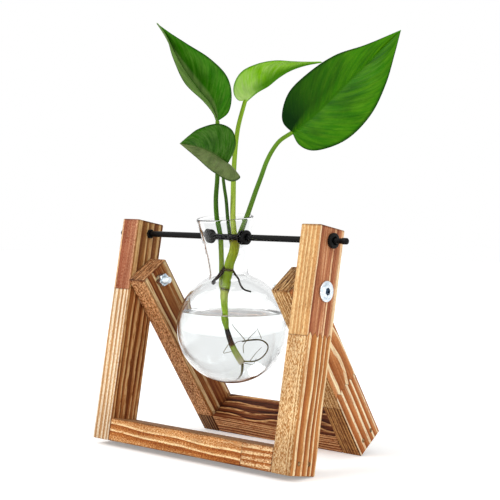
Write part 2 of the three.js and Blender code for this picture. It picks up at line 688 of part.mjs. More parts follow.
function addPlant() {
  add(plantGroup, 'cutting_stem', stemTube(), greenStem());
  const neighbours = [stemTube(FIT_GAP)];
  for (const petiole of PETIOLES) {
    add(plantGroup, petiole.name, cut(petioleTube(petiole), ...neighbours), greenStem());
    neighbours.push(petioleTube(petiole, FIT_GAP));
  }
  for (const leaf of LEAVES) {
    add(plantGroup, leaf.name, cut(leafBlade(leaf), ...neighbours), finish(leaf.color, 0.35));
  }
  for (const root of ROOTS) {
    add(plantGroup, root.name, insideVase(cut(rootTube(root), ...neighbours)), finish(0x4a3524, 0.7));
  }
}

// Water up to a level surface, with room for the stem and the roots in it
function addWater() {
  const bulbCentre = new THREE.Vector3(0, 0, -BULB_DOWN).applyMatrix4(vaseGroup.matrixWorld);
  const level = bulbCentre.z + WATER_ABOVE_BULB_CENTRE;
  const fill = toSolid(vaseFill(GLASS_WALL + FIT_GAP, RIM_UP - GLASS_WALL), vaseGroup.matrixWorld);
  const span = 4 * BULB_RADIUS;
  const below = new THREE.BoxGeometry(span, span, span);
  below.translate(bulbCentre.x, bulbCentre.y, level - span / 2);
  const inWater = [stemTube(FIT_GAP), ...ROOTS.map((root) => rootTube(root, FIT_GAP))];
  const water = inWater.reduce(
    (body, tube) => body.subtract(toSolid(tube, plantGroup.matrixWorld)),
    fill.intersect(toSolid(below)),
  );
  add(assembly, 'water', toGeometry(water), finish(0xdfeef2, 0.05, 0, 0.25));
}

addStand();
addPivots();
addRod();
addVase();
addPlant();
addWater();

// The origin is on the floor, under the middle of the whole object
assembly.updateMatrixWorld(true);
const bounds = new THREE.Box3().setFromObject(assembly, true);
const middle = bounds.getCenter(new THREE.Vector3());
assembly.position.set(-middle.x, -middle.y, -bounds.min.z);

const hydroponicVase = new THREE.Group();
hydroponicVase.add(assembly);

export default hydroponicVase;
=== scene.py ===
"""Looks of a hydroponic vase: a glass bulb with a cutting in water, hung from a rod between
two folding U-shaped frames of scorched pine. Sizes are in millimetres until a mesh is made."""

import logging
import math
from dataclasses import dataclass
from enum import Enum
from functools import cache
from typing import Callable, Sequence

import bmesh
import bpy
import numpy as np
from mathutils import Matrix, Vector


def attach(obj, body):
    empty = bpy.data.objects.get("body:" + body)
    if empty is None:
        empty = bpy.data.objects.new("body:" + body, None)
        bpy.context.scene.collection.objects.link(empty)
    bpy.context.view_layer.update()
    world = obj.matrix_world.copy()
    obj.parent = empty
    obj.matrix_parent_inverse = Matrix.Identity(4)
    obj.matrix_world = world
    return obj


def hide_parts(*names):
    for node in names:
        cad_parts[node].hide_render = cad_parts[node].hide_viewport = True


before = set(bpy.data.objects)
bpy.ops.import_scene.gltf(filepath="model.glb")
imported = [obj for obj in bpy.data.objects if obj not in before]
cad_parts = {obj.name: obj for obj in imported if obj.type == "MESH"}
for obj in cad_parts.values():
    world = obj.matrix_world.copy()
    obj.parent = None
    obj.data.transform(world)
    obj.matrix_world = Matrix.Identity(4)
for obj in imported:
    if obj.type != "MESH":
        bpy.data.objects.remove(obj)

log = logging.getLogger("hydroponic_vase")

MM = 0.001
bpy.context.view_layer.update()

# Where the CAD puts the moving frames, in millimetres above the floor and degrees about X
PIVOT = (0.0, -20.833, 122.504)
ROD_CENTRE = (0.0, -14.987, 155.998)
FRONT_LEAN = -9.9
REAR_LEAN = 34.934
VASE_LEAN = 7.0
FAN_TURN = 40.7

# Sizes that several sub-assemblies share
FIT_GAP = 0.3
POST_OUTER = 94.0
ROD_RADIUS = 2.2
SIDE_VEINS = 17.0
VEIN_SWEEP = 0.28

# Greys that stand for scorched soft wood, the usual wood and a pale ring
SCORCHED_TONE = "#000000"
USUAL_TONE = "#bcbcbc"
RING_TONE = "#ffffff"

WHITE = "#ffffff"

Row = Sequence[Sequence[float]]
Profile = list[tuple[float, float]]
Socket = bpy.types.NodeSocket
Mesh = bpy.types.Mesh
Material = bpy.types.Material


class Body(Enum):
    """The CAD bodies that a piece can ride on."""

    FRONT = "front_frame"
    REAR = "rear_frame"
    ROD = "rod"
    VASE = "vase"


class Side(Enum):
    """The two ends of the stand along the rod."""

    LEFT = -1
    RIGHT = 1

    @property
    def word(self) -> str:
        """The side's word in node names."""
        return self.name.lower()

    @property
    def turn(self) -> Matrix:
        """Turns a piece made for the right-hand side to this one."""
        return Matrix.Rotation(0 if self is Side.RIGHT else math.pi, 4, "Z")


class Step(Enum):
    """What a shader node does, by its type, its settings, the inputs that its values feed in
    turn, and the output that is used."""

    PLUS = "Math", {"operation": "ADD"}
    MINUS = "Math", {"operation": "SUBTRACT"}
    TIMES = "Math", {"operation": "MULTIPLY"}
    TIMES_PLUS = "Math", {"operation": "MULTIPLY_ADD"}
    MOST = "Math", {"operation": "MAXIMUM"}
    SIZE = "Math", {"operation": "ABSOLUTE"}
    FOLD = "Math", {"operation": "PINGPONG"}
    FRACTION = "Math", {"operation": "FRACT"}
    UNDER = "Math", {"operation": "LESS_THAN"}
    OVER = "Math", {"operation": "GREATER_THAN"}
    RANGE = "MapRange", {}, ("Value", "From Min", "From Max", "To Min", "To Max")
    RAMP = "ValToRGB", {}
    BLEND = "Mix", {}, (0, 2, 3)
    TINT = "Mix", {"data_type": "RGBA"}, (0, 6, 7), 2
    STAIN = "Mix", {"data_type": "RGBA", "blend_type": "MULTIPLY"}, (0, 6, 7), 2
    GREY = "CombineColor", {}
    JOIN = "CombineXYZ", {}
    SPLIT = "SeparateXYZ", {}
    SHIFT = "VectorMath", {"operation": "ADD"}
    SHRINK = "VectorMath", {"operation": "DIVIDE"}
    MASK = "VectorMath", {"operation": "MULTIPLY"}
    SCALE = "VectorMath", {"operation": "SCALE"}, (0, "Scale")
    LENGTH = "VectorMath", {"operation": "LENGTH"}, (0,), "Value"
    NOISE = "TexNoise", {}, ("Vector", "Scale", "Detail", "Roughness")
    BUMP = "Bump", {}, ("Height", "Distance", "Strength")
    ABSORB = "VolumeAbsorption", {}, ("Color", "Density")
    PLACE = "TexCoord", {}, (), "Object"
    FACING = "TexCoord", {}, (), "Normal"
    MARK = "Attribute", {}, (), "Fac"
    RAY = "LightPath", {}

    def __init__(
        self, kind: str, settings: dict[str, str], inputs: Sequence[int | str] = (0, 1, 2),
        out: int | str = 0,
    ) -> None:
        """Names the node's type and properties, the inputs that values feed, and the output."""
        self.kind, self.settings, self.inputs, self.out = kind, settings, inputs, out


def placed(centre: Sequence[float], lean: float, turn: float = 0.0) -> Matrix:
    """The place in metres of axes at a centre, leaned about X by degrees and then turned about Z."""
    spin = Matrix.Rotation(math.radians(turn), 4, "Z") @ Matrix.Rotation(math.radians(lean), 4, "X")
    return Matrix.Translation(Vector(centre) * MM) @ spin


def shifted(place: Matrix, x: float = 0.0, z: float = 0.0) -> Matrix:
    """A place moved along its own axes by millimetres."""
    return place @ Matrix.Translation(Vector((x, 0, z)) * MM)


def linear(hex_colour: str) -> tuple[float, float, float, float]:
    """An sRGB hex colour as the linear colour that shaders use.

    Args:
        hex_colour: Such as "#a9713f".

    Returns:
        Red, green, blue and an alpha of 1.
    """
    channels = [int(hex_colour[i : i + 2], 16) / 255 for i in (1, 3, 5)]
    lit = [c / 12.92 if c <= 0.04045 else ((c + 0.055) / 1.055) ** 2.4 for c in channels]
    return (*lit, 1.0)


class Graph:
    """The shader nodes of a world or a material."""

    def __init__(self, owner: bpy.types.World | Material) -> None:
        """Turns on the nodes of their owner."""
        owner.use_nodes = True
        self.tree = owner.node_tree

    def feed(self, node: bpy.types.Node, inputs: dict) -> None:
        """Links sockets and sets plain values on a node's inputs.

        Args:
            node: The node to feed.
            inputs: Input names or numbers, each with a socket, number, vector or hex colour.
        """
        for key, value in inputs.items():
            if isinstance(value, Socket):
                self.tree.links.new(value, node.inputs[key])
            else:
                node.inputs[key].default_value = linear(value) if isinstance(value, str) else value

    def add(
        self, step: Step, *values: Socket | float | str | Sequence[float], out: int | str | None = None,
        stops: Sequence[tuple[float, str]] = (), **settings: str,
    ) -> Socket:
        """Adds one shader node.

        Args:
            step: What the node does.
            values: What feeds its inputs in turn.
            out: The output to return, where it isn't the step's usual one.
            stops: For a colour ramp, places from 0 to 1 with hex colours.
            settings: More of the node's own properties.

        Returns:
            The chosen output socket.
        """
        node = self.tree.nodes.new("ShaderNode" + step.kind)
        for name, value in (step.settings | settings).items():
            setattr(node, name, value)
        if stops:
            while len(node.color_ramp.elements) < len(stops):
                node.color_ramp.elements.new(1.0)
            for element, (position, colour) in zip(node.color_ramp.elements, stops):
                element.position = position
                element.color = linear(colour)
        self.feed(node, dict(zip(step.inputs, values)))
        return node.outputs[step.out if out is None else out]

    def backdrop_ray(self) -> Socket:
        """Whether a ray shows what lies behind the object, straight, mirrored or through glass.

        Returns:
            One for such a ray and nought for any other.
        """
        camera, glossy, through = (
            self.add(Step.RAY, out=f"Is {kind} Ray") for kind in ("Camera", "Glossy", "Transmission")
        )
        return self.add(Step.MOST, camera, self.add(Step.MOST, through, glossy))


class Surface(Graph):
    """The nodes of one material, with the place on its piece in millimetres."""

    def __init__(self, name: str) -> None:
        """Starts a material that has only its Principled shader.

        Args:
            name: The material's name.
        """
        self.material = bpy.data.materials.new(name)
        super().__init__(self.material)
        self.shader = self.tree.nodes["Principled BSDF"]
        self.place = self.add(Step.SCALE, self.add(Step.PLACE), 1 / MM)

    def axes(self, vector: Socket) -> list[Socket]:
        """The X, Y and Z of a vector."""
        return list(self.add(Step.SPLIT, vector).node.outputs)

    def marks(self) -> tuple[Socket, Socket]:
        """The shares along and across the piece that its mesh is marked with."""
        return self.add(Step.MARK, attribute_name="along"), self.add(Step.MARK, attribute_name="across")

    def stretched_noise(
        self, size: Sequence[float], detail: float = 2.0, seed: Sequence[float] = (0, 0, 0),
        low: float = 0.35, high: float = 0.65,
    ) -> Socket:
        """Smooth noise whose spots have a real size, with its contrast raised.

        Args:
            size: The spots' length along each of the piece's axes, in millimetres.
            detail: Finer layers in the noise.
            seed: A shift in millimetres, so that no two pieces look alike.
            low: The noise value that becomes 0.
            high: The noise value that becomes 1.

        Returns:
            A number from 0 to 1.
        """
        moved = self.add(Step.SHIFT, self.place, seed)
        noise = self.add(Step.NOISE, self.add(Step.SHRINK, moved, size), 1.0, detail)
        return self.add(Step.RANGE, noise, low, high)

    def marked_noise(
        self, along: Socket, across: Socket, spots: tuple[float, float], detail: float,
        roughness: float = 0.5, shift: float = 0.0,
    ) -> Socket:
        """Noise with a number of spots along and across the shares that a mesh is marked with."""
        counted = (self.add(Step.TIMES, mark, count) for mark, count in zip((along, across), spots))
        return self.add(Step.NOISE, self.add(Step.JOIN, *counted, shift), 1.0, detail, roughness)

    def finish(self, **inputs: Socket | float | str) -> Material:
        """Feeds the Principled shader, with underscores for spaces, and gives the finished material."""
        self.feed(self.shader, {name.replace("_", " "): value for name, value in inputs.items()})
        return self.material


# Finishes


@dataclass(frozen=True)
class Cut:
    """How one face of a board cuts its growth rings: each pale ring's place across the face
    and its width in millimetres, and the colours of the scorched wood between them."""

    rings: tuple[tuple[float, float], ...]
    dark: str
    middle: str
    pale: str
    stipple: float = 0.3
    waver: float = 0.7
    wave: float = 70.0
    slant: float = 0.0
    broken: float = 0.25
    bands: float = 0.4
    soft_edge: float = 0.55
    hard_edge: float = 0.25

    def stops(self, half: float) -> list[tuple[float, str]]:
        """The tones across the face. After each pale ring the soft wood is scorched darkest.

        Args:
            half: Half the face's width.

        Returns:
            Places from 0 to 1 with their greys.
        """
        found = [(0.0, USUAL_TONE)]
        for place, width in self.rings:
            start, end = place - width / 2, place + width / 2
            edges = (
                (start - self.soft_edge, USUAL_TONE), (start, RING_TONE), (end, RING_TONE),
                (end + self.hard_edge, SCORCHED_TONE),
            )
            found += [(min(1.0, max(0.0, (edge + half) / (2 * half))), tone) for edge, tone in edges]
        return found + [(1.0, USUAL_TONE)]


@dataclass(frozen=True)
class Board:
    """One length of pine between two glued joints, by how its wide and narrow faces are cut."""

    wide: Cut
    narrow: Cut


@dataclass(frozen=True)
class ScorchedPine:
    """Pine singed with a torch and brushed. The soft wood browns and the hard late wood
    stays cream, so each timber shows warm brown bands with pale raised lines along it."""

    name: str
    upper: Board
    lower: Board
    joint_up: float
    seed: tuple[float, float, float]
    burnt: str = "#4a1c08"
    burn: float = 0.25
    foot_burn: float = 0.0
    foot_from: float = -80.0
    foot_to: float = -116.0
    end_burn: float = 0.8
    end_tint: str = "#64432f"
    top: float = 43.0
    rim_burn: float = 0.9
    rim_reach: float = 1.7
    rim_core: float = 0.6
    arris_burn: float = 0.15
    arris_reach: float = 1.3
    arris_core: float = 0.4
    narrow_drop: float = 0.0
    tooth_length: float = 3.0
    tooth_pitch: float = 2.7
    joint_width: float = 0.15
    glue_width: float = 0.6
    half_thickness: float = 8.25
    half_width: float = 13.5

    def noise(self, graph: Surface, size: Sequence[float], detail: float, low: float, high: float) -> Socket:
        """Stretched noise with the timber's own seed."""
        return graph.stretched_noise(size, detail, self.seed, low, high)

    def shade(
        self, graph: Surface, cut: Cut, across: Socket, half: float, fields: dict[str, Socket],
    ) -> tuple[Socket, Socket]:
        """The colour and the raised rings of one face.

        Args:
            graph: The material's nodes.
            cut: How the face cuts the rings.
            across: The place across the face in millimetres.
            half: Half the face's width.
            fields: The height and the noises that all faces share.

        Returns:
            The colour, and how much a point is hard late wood, from 0 to 1.
        """
        add = graph.add
        drift = self.noise(graph, (24, 24, cut.wave), 1.0, 0.25, 0.75)
        wandered = add(Step.TIMES_PLUS, drift, 2 * cut.waver, across)
        slanted = add(Step.TIMES_PLUS, fields["up"], cut.slant, wandered)
        share = add(Step.RANGE, slanted, cut.waver - half, cut.waver + half)
        tone = add(Step.RAMP, share, stops=cut.stops(half))
        late = add(Step.RANGE, tone, 0.55, 0.95)
        banded = add(Step.TIMES_PLUS, fields["bands"], cut.bands, tone)
        # The brush leaves short pale flecks of raised fibre over the browned wood
        flecked = add(Step.TIMES_PLUS, fields["flecks"], cut.stipple, banded)
        evened = add(Step.MINUS, flecked, (cut.bands + cut.stipple) / 2)
        gaps = add(Step.TIMES, fields["gaps"], late)
        broken = add(Step.TIMES_PLUS, gaps, -cut.broken, evened)
        return add(Step.RAMP, broken, stops=[(0.0, cut.dark), (0.5, cut.middle), (1.0, cut.pale)]), late

    def grain(self, graph: Surface, board: Board, fields: dict[str, Socket]) -> tuple[Socket, Socket]:
        """The colour and the raised rings of one board, on its wide and its narrow faces.

        Args:
            graph: The material's nodes.
            board: The board to draw.
            fields: The places and noises that all faces share.

        Returns:
            The colour, and how much a point is hard late wood, from 0 to 1.
        """
        wide, wide_late = self.shade(graph, board.wide, fields["y"], self.half_width, fields)
        narrow, narrow_late = self.shade(graph, board.narrow, fields["x"], self.half_thickness, fields)
        colour = graph.add(Step.TINT, fields["is wide"], narrow, wide)
        return colour, graph.add(Step.BLEND, fields["is wide"], narrow_late, wide_late)

    def jointed(self, graph: Surface, fields: dict[str, Socket]) -> tuple[Socket, Socket, Socket]:
        """Two boards in a finger joint: pointed teeth over the wide faces, and a straight
        line over the narrow ones.

        Args:
            graph: The material's nodes.
            fields: The places and noises that all faces share.

        Returns:
            The colour, how much a point is hard late wood, and how much it is glue.
        """
        add = graph.add
        teeth = add(Step.FOLD, add(Step.PLUS, fields["y"], self.half_width), self.tooth_pitch)
        reach = add(Step.TIMES_PLUS, teeth, self.tooth_length / self.tooth_pitch, self.joint_up)
        lowered = add(Step.TIMES_PLUS, fields["is narrow"], -self.narrow_drop, reach)
        past = add(Step.MINUS, fields["up"], lowered)
        is_upper = add(Step.RANGE, past, -self.joint_width, self.joint_width)
        glue = add(Step.RANGE, add(Step.SIZE, past), self.joint_width, self.glue_width, 0.5, 0.0)
        upper, upper_late = self.grain(graph, self.upper, fields)
        lower, lower_late = self.grain(graph, self.lower, fields)
        late = add(Step.BLEND, is_upper, lower_late, upper_late)
        return add(Step.TINT, is_upper, lower, upper), late, glue

    def charred_arrises(self, graph: Surface, fields: dict[str, Socket], torch: Socket) -> Socket:
        """The flame catches the arrises first, most of all round a sawn end.

        Args:
            graph: The material's nodes.
            fields: The places that all faces share.
            torch: How near the flame came.

        Returns:
            How charred a point is.
        """
        add = graph.add
        near = [
            add(Step.RANGE, add(Step.SIZE, fields[axis]), half - self.arris_reach, half - self.arris_core)
            for axis, half in (("x", self.half_thickness), ("y", self.half_width))
        ]
        along = add(Step.TIMES, add(Step.TIMES, *near), self.arris_burn)
        near_top = add(
            Step.RANGE, fields["up"], self.top - self.rim_reach, self.top - self.rim_core, 0.0, self.rim_burn,
        )
        at_end = add(Step.TIMES, near_top, add(Step.MOST, *near))
        uneven = add(Step.RANGE, torch, 0.0, 1.0, 0.45, 1.0)
        return add(Step.TIMES, add(Step.MOST, along, at_end), uneven)

    @cache
    def material(self) -> Material:
        """Builds the timber's material.

        Returns:
            The material.
        """
        graph = Surface(self.name)
        add = graph.add
        x, y, z = graph.axes(graph.place)
        sideways, _, upwards = graph.axes(add(Step.FACING))
        is_wide = add(Step.RANGE, add(Step.SIZE, sideways), 0.6, 0.8)
        fields = {
            "x": x, "y": y, "up": z, "is wide": is_wide, "is narrow": add(Step.MINUS, 1.0, is_wide),
            "bands": self.noise(graph, (1.7, 1.7, 60), 3.0, 0.3, 0.7),
            "flecks": self.noise(graph, (0.42, 0.42, 1.5), 1.0, 0.41, 0.6),
            "gaps": self.noise(graph, (1.2, 1.2, 7), 2.0, 0.48, 0.66),
        }
        wood, late, glue = self.jointed(graph, fields)
        # Real fibres are a tenth as wide, too fine to show, so they are drawn coarser
        fibre = self.noise(graph, (0.32, 0.32, 11), 3.0, 0.25, 0.75)
        fibred = add(Step.RANGE, fibre, 0.0, 1.0, 0.8, 1.16)
        colour = add(Step.STAIN, 1.0, wood, add(Step.GREY, fibred, fibred, fibred))
        pore = self.noise(graph, (0.45, 0.45, 2.2), 2.0, 0.6, 0.7)
        torch = self.noise(graph, (9, 9, 34), 4.0, 0.42, 0.66)
        soft = add(Step.RANGE, late, 0.0, 1.0, self.burn, 0.3 * self.burn)
        foot = add(Step.RANGE, z, self.foot_from, self.foot_to, 0.0, self.foot_burn)
        burns = (
            add(Step.TIMES, pore, 0.4), add(Step.TIMES, torch, soft),
            add(Step.TIMES, foot, fields["is narrow"]), glue, self.charred_arrises(graph, fields, torch),
        )
        for burn in burns:
            colour = add(Step.TINT, burn, colour, self.burnt)
        # Sawn ends take the torch more, between their rings most
        rings = self.noise(graph, (0.8, 9, 9), 2.0, 0.46, 0.6)
        taken = add(Step.RANGE, rings, 0.0, 1.0, 0.1 * self.end_burn, self.end_burn)
        is_end = add(Step.RANGE, add(Step.SIZE, upwards), 0.6, 0.9)
        ridges = add(Step.TIMES_PLUS, fibre, 0.3, late)
        dented = add(Step.TIMES_PLUS, pore, -0.6, ridges)
        return graph.finish(
            Base_Color=add(Step.STAIN, add(Step.TIMES, is_end, taken), colour, self.end_tint),
            Roughness=add(Step.RANGE, fibre, 0.0, 1.0, 0.75, 0.55),
            Normal=add(Step.BUMP, dented, 0.00016, 0.9), Specular_IOR_Level=0.12,
        )


@dataclass(frozen=True)
class ZincPlatedSteel:
    """Bright zinc over turned steel. Fine turning lines and a faint blotchy passivation
    spread its highlights, and a painted shade darkens the key's socket, where the recess is
    shaded. The lines are drawn as coarse as they need to be to show."""

    name: str
    bright: str = "#f2f8fc"
    dull: str = "#cfdce5"
    roughness: float = 0.26
    # Where the socket's painted shade reaches: its radius, and from and to along the bolt
    socket_shade_radius: float = 0.0
    socket_shade_from: float = 80.0
    socket_shade_to: float = 96.1
    shade: str = "#3c5064"

    def hollow(self, graph: Surface) -> Socket:
        """Where the key's socket is. It takes a painted shade that stands for the shade in the recess.

        Args:
            graph: The material's nodes.

        Returns:
            One inside the socket and nought elsewhere.
        """
        add = graph.add
        along = graph.axes(graph.place)[0]
        out = add(Step.LENGTH, add(Step.MASK, graph.place, (0, 1, 1)))
        inside = add(Step.UNDER, out, self.socket_shade_radius)
        short, far = add(Step.UNDER, along, self.socket_shade_to), add(Step.OVER, along, self.socket_shade_from)
        return add(Step.TIMES, inside, add(Step.TIMES, short, far))

    @cache
    def material(self) -> Material:
        """Builds the plated metal.

        Returns:
            The material.
        """
        graph = Surface(self.name)
        add = graph.add
        blotch = graph.stretched_noise((2.2, 2.2, 2.2), 3.0)
        lines = graph.stretched_noise((0.12, 0.6, 0.6), 2.0)
        colour = add(Step.TINT, blotch, self.dull, self.bright)
        # A painted shade darkens the key's socket and stands for the shade in the recess
        if self.socket_shade_radius:
            colour = add(Step.TINT, self.hollow(graph), colour, self.shade)
        rough = add(Step.RANGE, lines, 0.0, 1.0, self.roughness - 0.06, self.roughness + 0.12)
        bump = add(Step.BUMP, lines, 0.00001, 0.5)
        return graph.finish(Base_Color=colour, Metallic=1.0, Roughness=rough, Normal=bump)


@dataclass(frozen=True)
class BlackOxideSteel:
    """Blackened steel rod under a thin oil film, nearly black with a soft lengthwise gleam
    from the drawing of the bar."""

    name: str
    black: str = "#020202"
    worn: str = "#0b0b0c"

    @cache
    def material(self) -> Material:
        """Builds the blackened metal.

        Returns:
            The material.
        """
        graph = Surface(self.name)
        drawn = graph.stretched_noise((20, 0.25, 0.25), 3.0)
        return graph.finish(
            Base_Color=graph.add(Step.TINT, drawn, self.black, self.worn),
            Roughness=graph.add(Step.RANGE, drawn, 0.0, 1.0, 0.3, 0.5),
            Normal=graph.add(Step.BUMP, drawn, 0.00001, 0.6), Specular_IOR_Level=0.13,
        )


@dataclass(frozen=True)
class MouldedRubber:
    """Black moulded rubber, matt with a dusty bloom and the pitting of its mould, which is
    drawn coarser than the real one so that it shows."""

    name: str
    black: str = "#030303"
    bloom: str = "#0d0c0b"

    @cache
    def material(self) -> Material:
        """Builds the rubber.

        Returns:
            The material.
        """
        graph = Surface(self.name)
        bloom = graph.stretched_noise((1.6, 1.6, 1.6), 3.0)
        pits = graph.stretched_noise((0.18, 0.18, 0.18), 2.0)
        return graph.finish(
            Base_Color=graph.add(Step.TINT, bloom, self.black, self.bloom),
            Roughness=graph.add(Step.RANGE, bloom, 0.0, 1.0, 0.45, 0.65),
            Normal=graph.add(Step.BUMP, pits, 0.00003, 0.6), Specular_IOR_Level=0.15,
        )


@dataclass(frozen=True)
class BlownGlass:
    """Clear lamp-blown glass. It is slightly wavy, so what shows through it swims a little,
    and it darkens where the view runs along its wall, as at the outline. Its gleam face on
    is held back, so that dark things behind it keep their depth."""

    name: str
    tint: str = "#fcfdfd"
    gleam: str = "#6e6e6e"
    depth_tint: str = "#8a8a8c"
    density: float = 36.0

    @cache
    def material(self) -> Material:
        """Builds the glass.

        Returns:
            The material.
        """
        graph = Surface(self.name)
        waves = graph.stretched_noise((16, 16, 9), 1.0, low=0.0, high=1.0)
        body = graph.add(Step.ABSORB, self.depth_tint, self.density)
        graph.feed(graph.tree.nodes["Material Output"], {"Volume": body})
        return graph.finish(
            Base_Color=self.tint, Roughness=0.0, IOR=1.5, Transmission_Weight=1.0, Specular_Tint=self.gleam,
            Normal=graph.add(Step.BUMP, waves, 0.0006, 0.5),
        )


@dataclass(frozen=True)
class StillWater:
    """Clean still water, with the slightest ripple on its surface and the glass's held-back
    gleam."""

    name: str
    tint: str = "#fbfdfd"
    gleam: str = "#6e6e6e"

    @cache
    def material(self) -> Material:
        """Builds the water.

        Returns:
            The material.
        """
        graph = Surface(self.name)
        ripple = graph.stretched_noise((12, 12, 12), 1.0, low=0.0, high=1.0)
        return graph.finish(
            Base_Color=self.tint, Roughness=0.0, IOR=1.333, Transmission_Weight=1.0, Specular_Tint=self.gleam,
            Normal=graph.add(Step.BUMP, ripple, 0.0002, 0.4),
        )


@dataclass(frozen=True)
class PothosLeaf:
    """A waxy pothos blade. Its green is mottled along the side veins and the midrib is
    paler, under a smooth cuticle with a broad soft gloss. Painted light and shade lie in it too: in one
    half's own colour, near the base on one side, and along the fold by the midrib."""

    name: str
    right: str
    # The left half's colour: on leaf_left a painted sheen, on leaf_front a painted shade
    left: str
    dark: str
    pale: str
    midrib: str
    # How strong the painted shade is near the base on one side
    base_shade: float = 0.0
    mottle: float = 0.5
    base_pale: float = 0.0
    # How strong the painted shade is along the fold by the midrib
    fold_shade: float = 0.0
    painted_light_reach: float = 0.0
    depth: float = 0.5
    sheen: float = 0.02

    @cache
    def material(self) -> Material:
        """Builds the blade's material.

        Returns:
            The material.
        """
        graph = Surface(self.name)
        add = graph.add
        along, across = graph.marks()
        width = add(Step.SIZE, across)
        # Side veins sweep forward from the midrib to the margin
        sweep = add(Step.TIMES_PLUS, width, -VEIN_SWEEP, along)
        streaks = graph.marked_noise(sweep, across, (26.0, 2.4), 4.0, 0.6)
        deep = graph.marked_noise(sweep, across, (9.0, 1.6), 3.0, shift=3.0)
        between = add(Step.MINUS, add(Step.FRACTION, add(Step.TIMES, sweep, SIDE_VEINS)), 0.5)
        vein = add(Step.RANGE, add(Step.SIZE, between), 0.0, 0.09, 0.2, 0.0)
        # The blade darkens near its base on one side: a painted shade
        from_base = add(Step.RANGE, along, 0.15, 0.75, 1.0, 0.0)
        shaded_base_side = add(Step.TIMES, from_base, add(Step.RANGE, across, 0.05, -0.3))
        rib = add(Step.RANGE, width, 0.012, 0.055, 0.85, 0.0)
        # A painted shade along the fold by the midrib, from a little past the base
        fold_shade_mask = add(Step.RANGE, width, 0.12, 0.42, self.fold_shade, 0.0)
        # One half takes its own colour, which holds painted light: a grey sheen on leaf_left and a grey shade
        # on leaf_front
        half = add(Step.RANGE, across, self.painted_light_reach - 0.05, self.painted_light_reach + 0.05)
        colour = add(Step.TINT, half, self.left, self.right)
        layers = (
            (add(Step.RANGE, streaks, 0.4, 0.7, 0.0, self.mottle), self.pale),
            (add(Step.RANGE, deep, 0.45, 0.7, 0.0, self.depth), self.dark),
            (vein, self.dark),
            (add(Step.TIMES, shaded_base_side, self.base_shade), self.dark),
            (add(Step.RANGE, along, 0.12, 0.42, self.base_pale, 0.0), self.pale),
            (add(Step.TIMES, rib, add(Step.RANGE, along, 0.2, 1.0, 1.0, 0.35)), self.midrib),
            (add(Step.TIMES, fold_shade_mask, add(Step.RANGE, along, 0.15, 0.38)), self.dark),
            (add(Step.RANGE, width, 0.91, 0.99, 0.0, 0.9), self.dark),
        )
        for share, tint in layers:
            colour = add(Step.TINT, share, colour, tint)
        # The skin's cells are drawn coarser than they are, so that they show
        cells = graph.stretched_noise((0.35, 0.35, 0.35), 2.0)
        relief = add(Step.TIMES_PLUS, vein, -1.6, add(Step.TIMES, cells, 0.2))
        return graph.finish(
            Base_Color=colour, Roughness=add(Step.RANGE, streaks, 0.0, 1.0, 0.28, 0.46),
            Normal=add(Step.BUMP, relief, 0.00012, 0.8),
            Coat_Weight=self.sheen, Coat_Roughness=0.2, Specular_IOR_Level=0.05,
        )


@dataclass(frozen=True)
class PlantSkin:
    """The skin of a stem, leaf stalk or root. Its colours change along its length and fine
    lengthwise ribs catch the light."""

    name: str
    colours: tuple[tuple[float, str], ...]
    fleck: str
    flecks: float = 0.3
    roughness: float = 0.42

    @cache
    def material(self) -> Material:
        """Builds the skin.

        Returns:
            The material.
        """
        graph = Surface(self.name)
        add = graph.add
        along, around = graph.marks()
        ribs = graph.marked_noise(along, around, (5.0, 7.0), 3.0)
        ribbed = add(Step.RANGE, ribs, 0.3, 0.7, 0.78, 1.15)
        skin = add(Step.RAMP, along, stops=self.colours)
        toned = add(Step.STAIN, 1.0, skin, add(Step.GREY, ribbed, ribbed, ribbed))
        spots = graph.stretched_noise((0.7, 0.7, 1.8), 2.0, low=0.56, high=0.7)
        return graph.finish(
            Base_Color=add(Step.TINT, add(Step.TIMES, spots, self.flecks), toned, self.fleck),
            Roughness=add(Step.RANGE, spots, 0.0, 1.0, self.roughness, self.roughness + 0.2),
            Normal=add(Step.BUMP, ribs, 0.00012, 0.6), Specular_IOR_Level=0.15,
        )


# Meshes

# The radius under which a ring closes to a tip, the radius up to which a hole needs fewer sides,
# and the turn that sets a body about X upright
TIP_RADIUS = 1e-6
NARROW_HOLE = 1.6
UPRIGHT = Matrix.Rotation(math.radians(-90), 3, "Y")


def turns(count: int) -> list[float]:
    """Equal steps once round a circle, in radians."""
    return [2 * math.pi * k / count for k in range(count)]


def round_x(radius: float, x: float, angle: float) -> Vector:
    """The point at a distance and an angle round the X axis."""
    return Vector((x, radius * math.cos(angle), radius * math.sin(angle)))


def put(name: str, data: bpy.types.ID) -> bpy.types.Object:
    """Puts an object that shows some data in the scene.

    Args:
        name: The object's name.
        data: Its mesh, lamp or camera.

    Returns:
        The object.
    """
    made = bpy.data.objects.new(name, data)
    bpy.context.scene.collection.objects.link(made)
    return made


def circle(radius: float, x: float, sides: int, flats: float = 0.0) -> list[Vector]:
    """Points round the X axis.

    Args:
        radius: The circle's radius; none gives one point on the axis.
        x: Its place along the axis.
        sides: How many points.
        flats: Where above zero, the points stay inside a hexagon of this inner radius.

    Returns:
        The points.
    """
    if radius < TIP_RADIUS:
        return [Vector((x, 0, 0))]
    points = []
    for angle in turns(sides):
        reach = radius
        if flats:
            reach = min(radius, flats / math.cos((angle + math.pi / 6) % (math.pi / 3) - math.pi / 6))
        points.append(round_x(reach, x, angle))
    return points


def arc(centre: tuple[float, float], radius: float, start: float, end: float, steps: int) -> Profile:
    """Points on an arc between two angles in degrees, where 0 points outwards and 90 along the axis."""
    angles = [math.radians(start + (end - start) * i / steps) for i in range(steps + 1)]
    return [(centre[0] + radius * math.cos(a), centre[1] + radius * math.sin(a)) for a in angles]


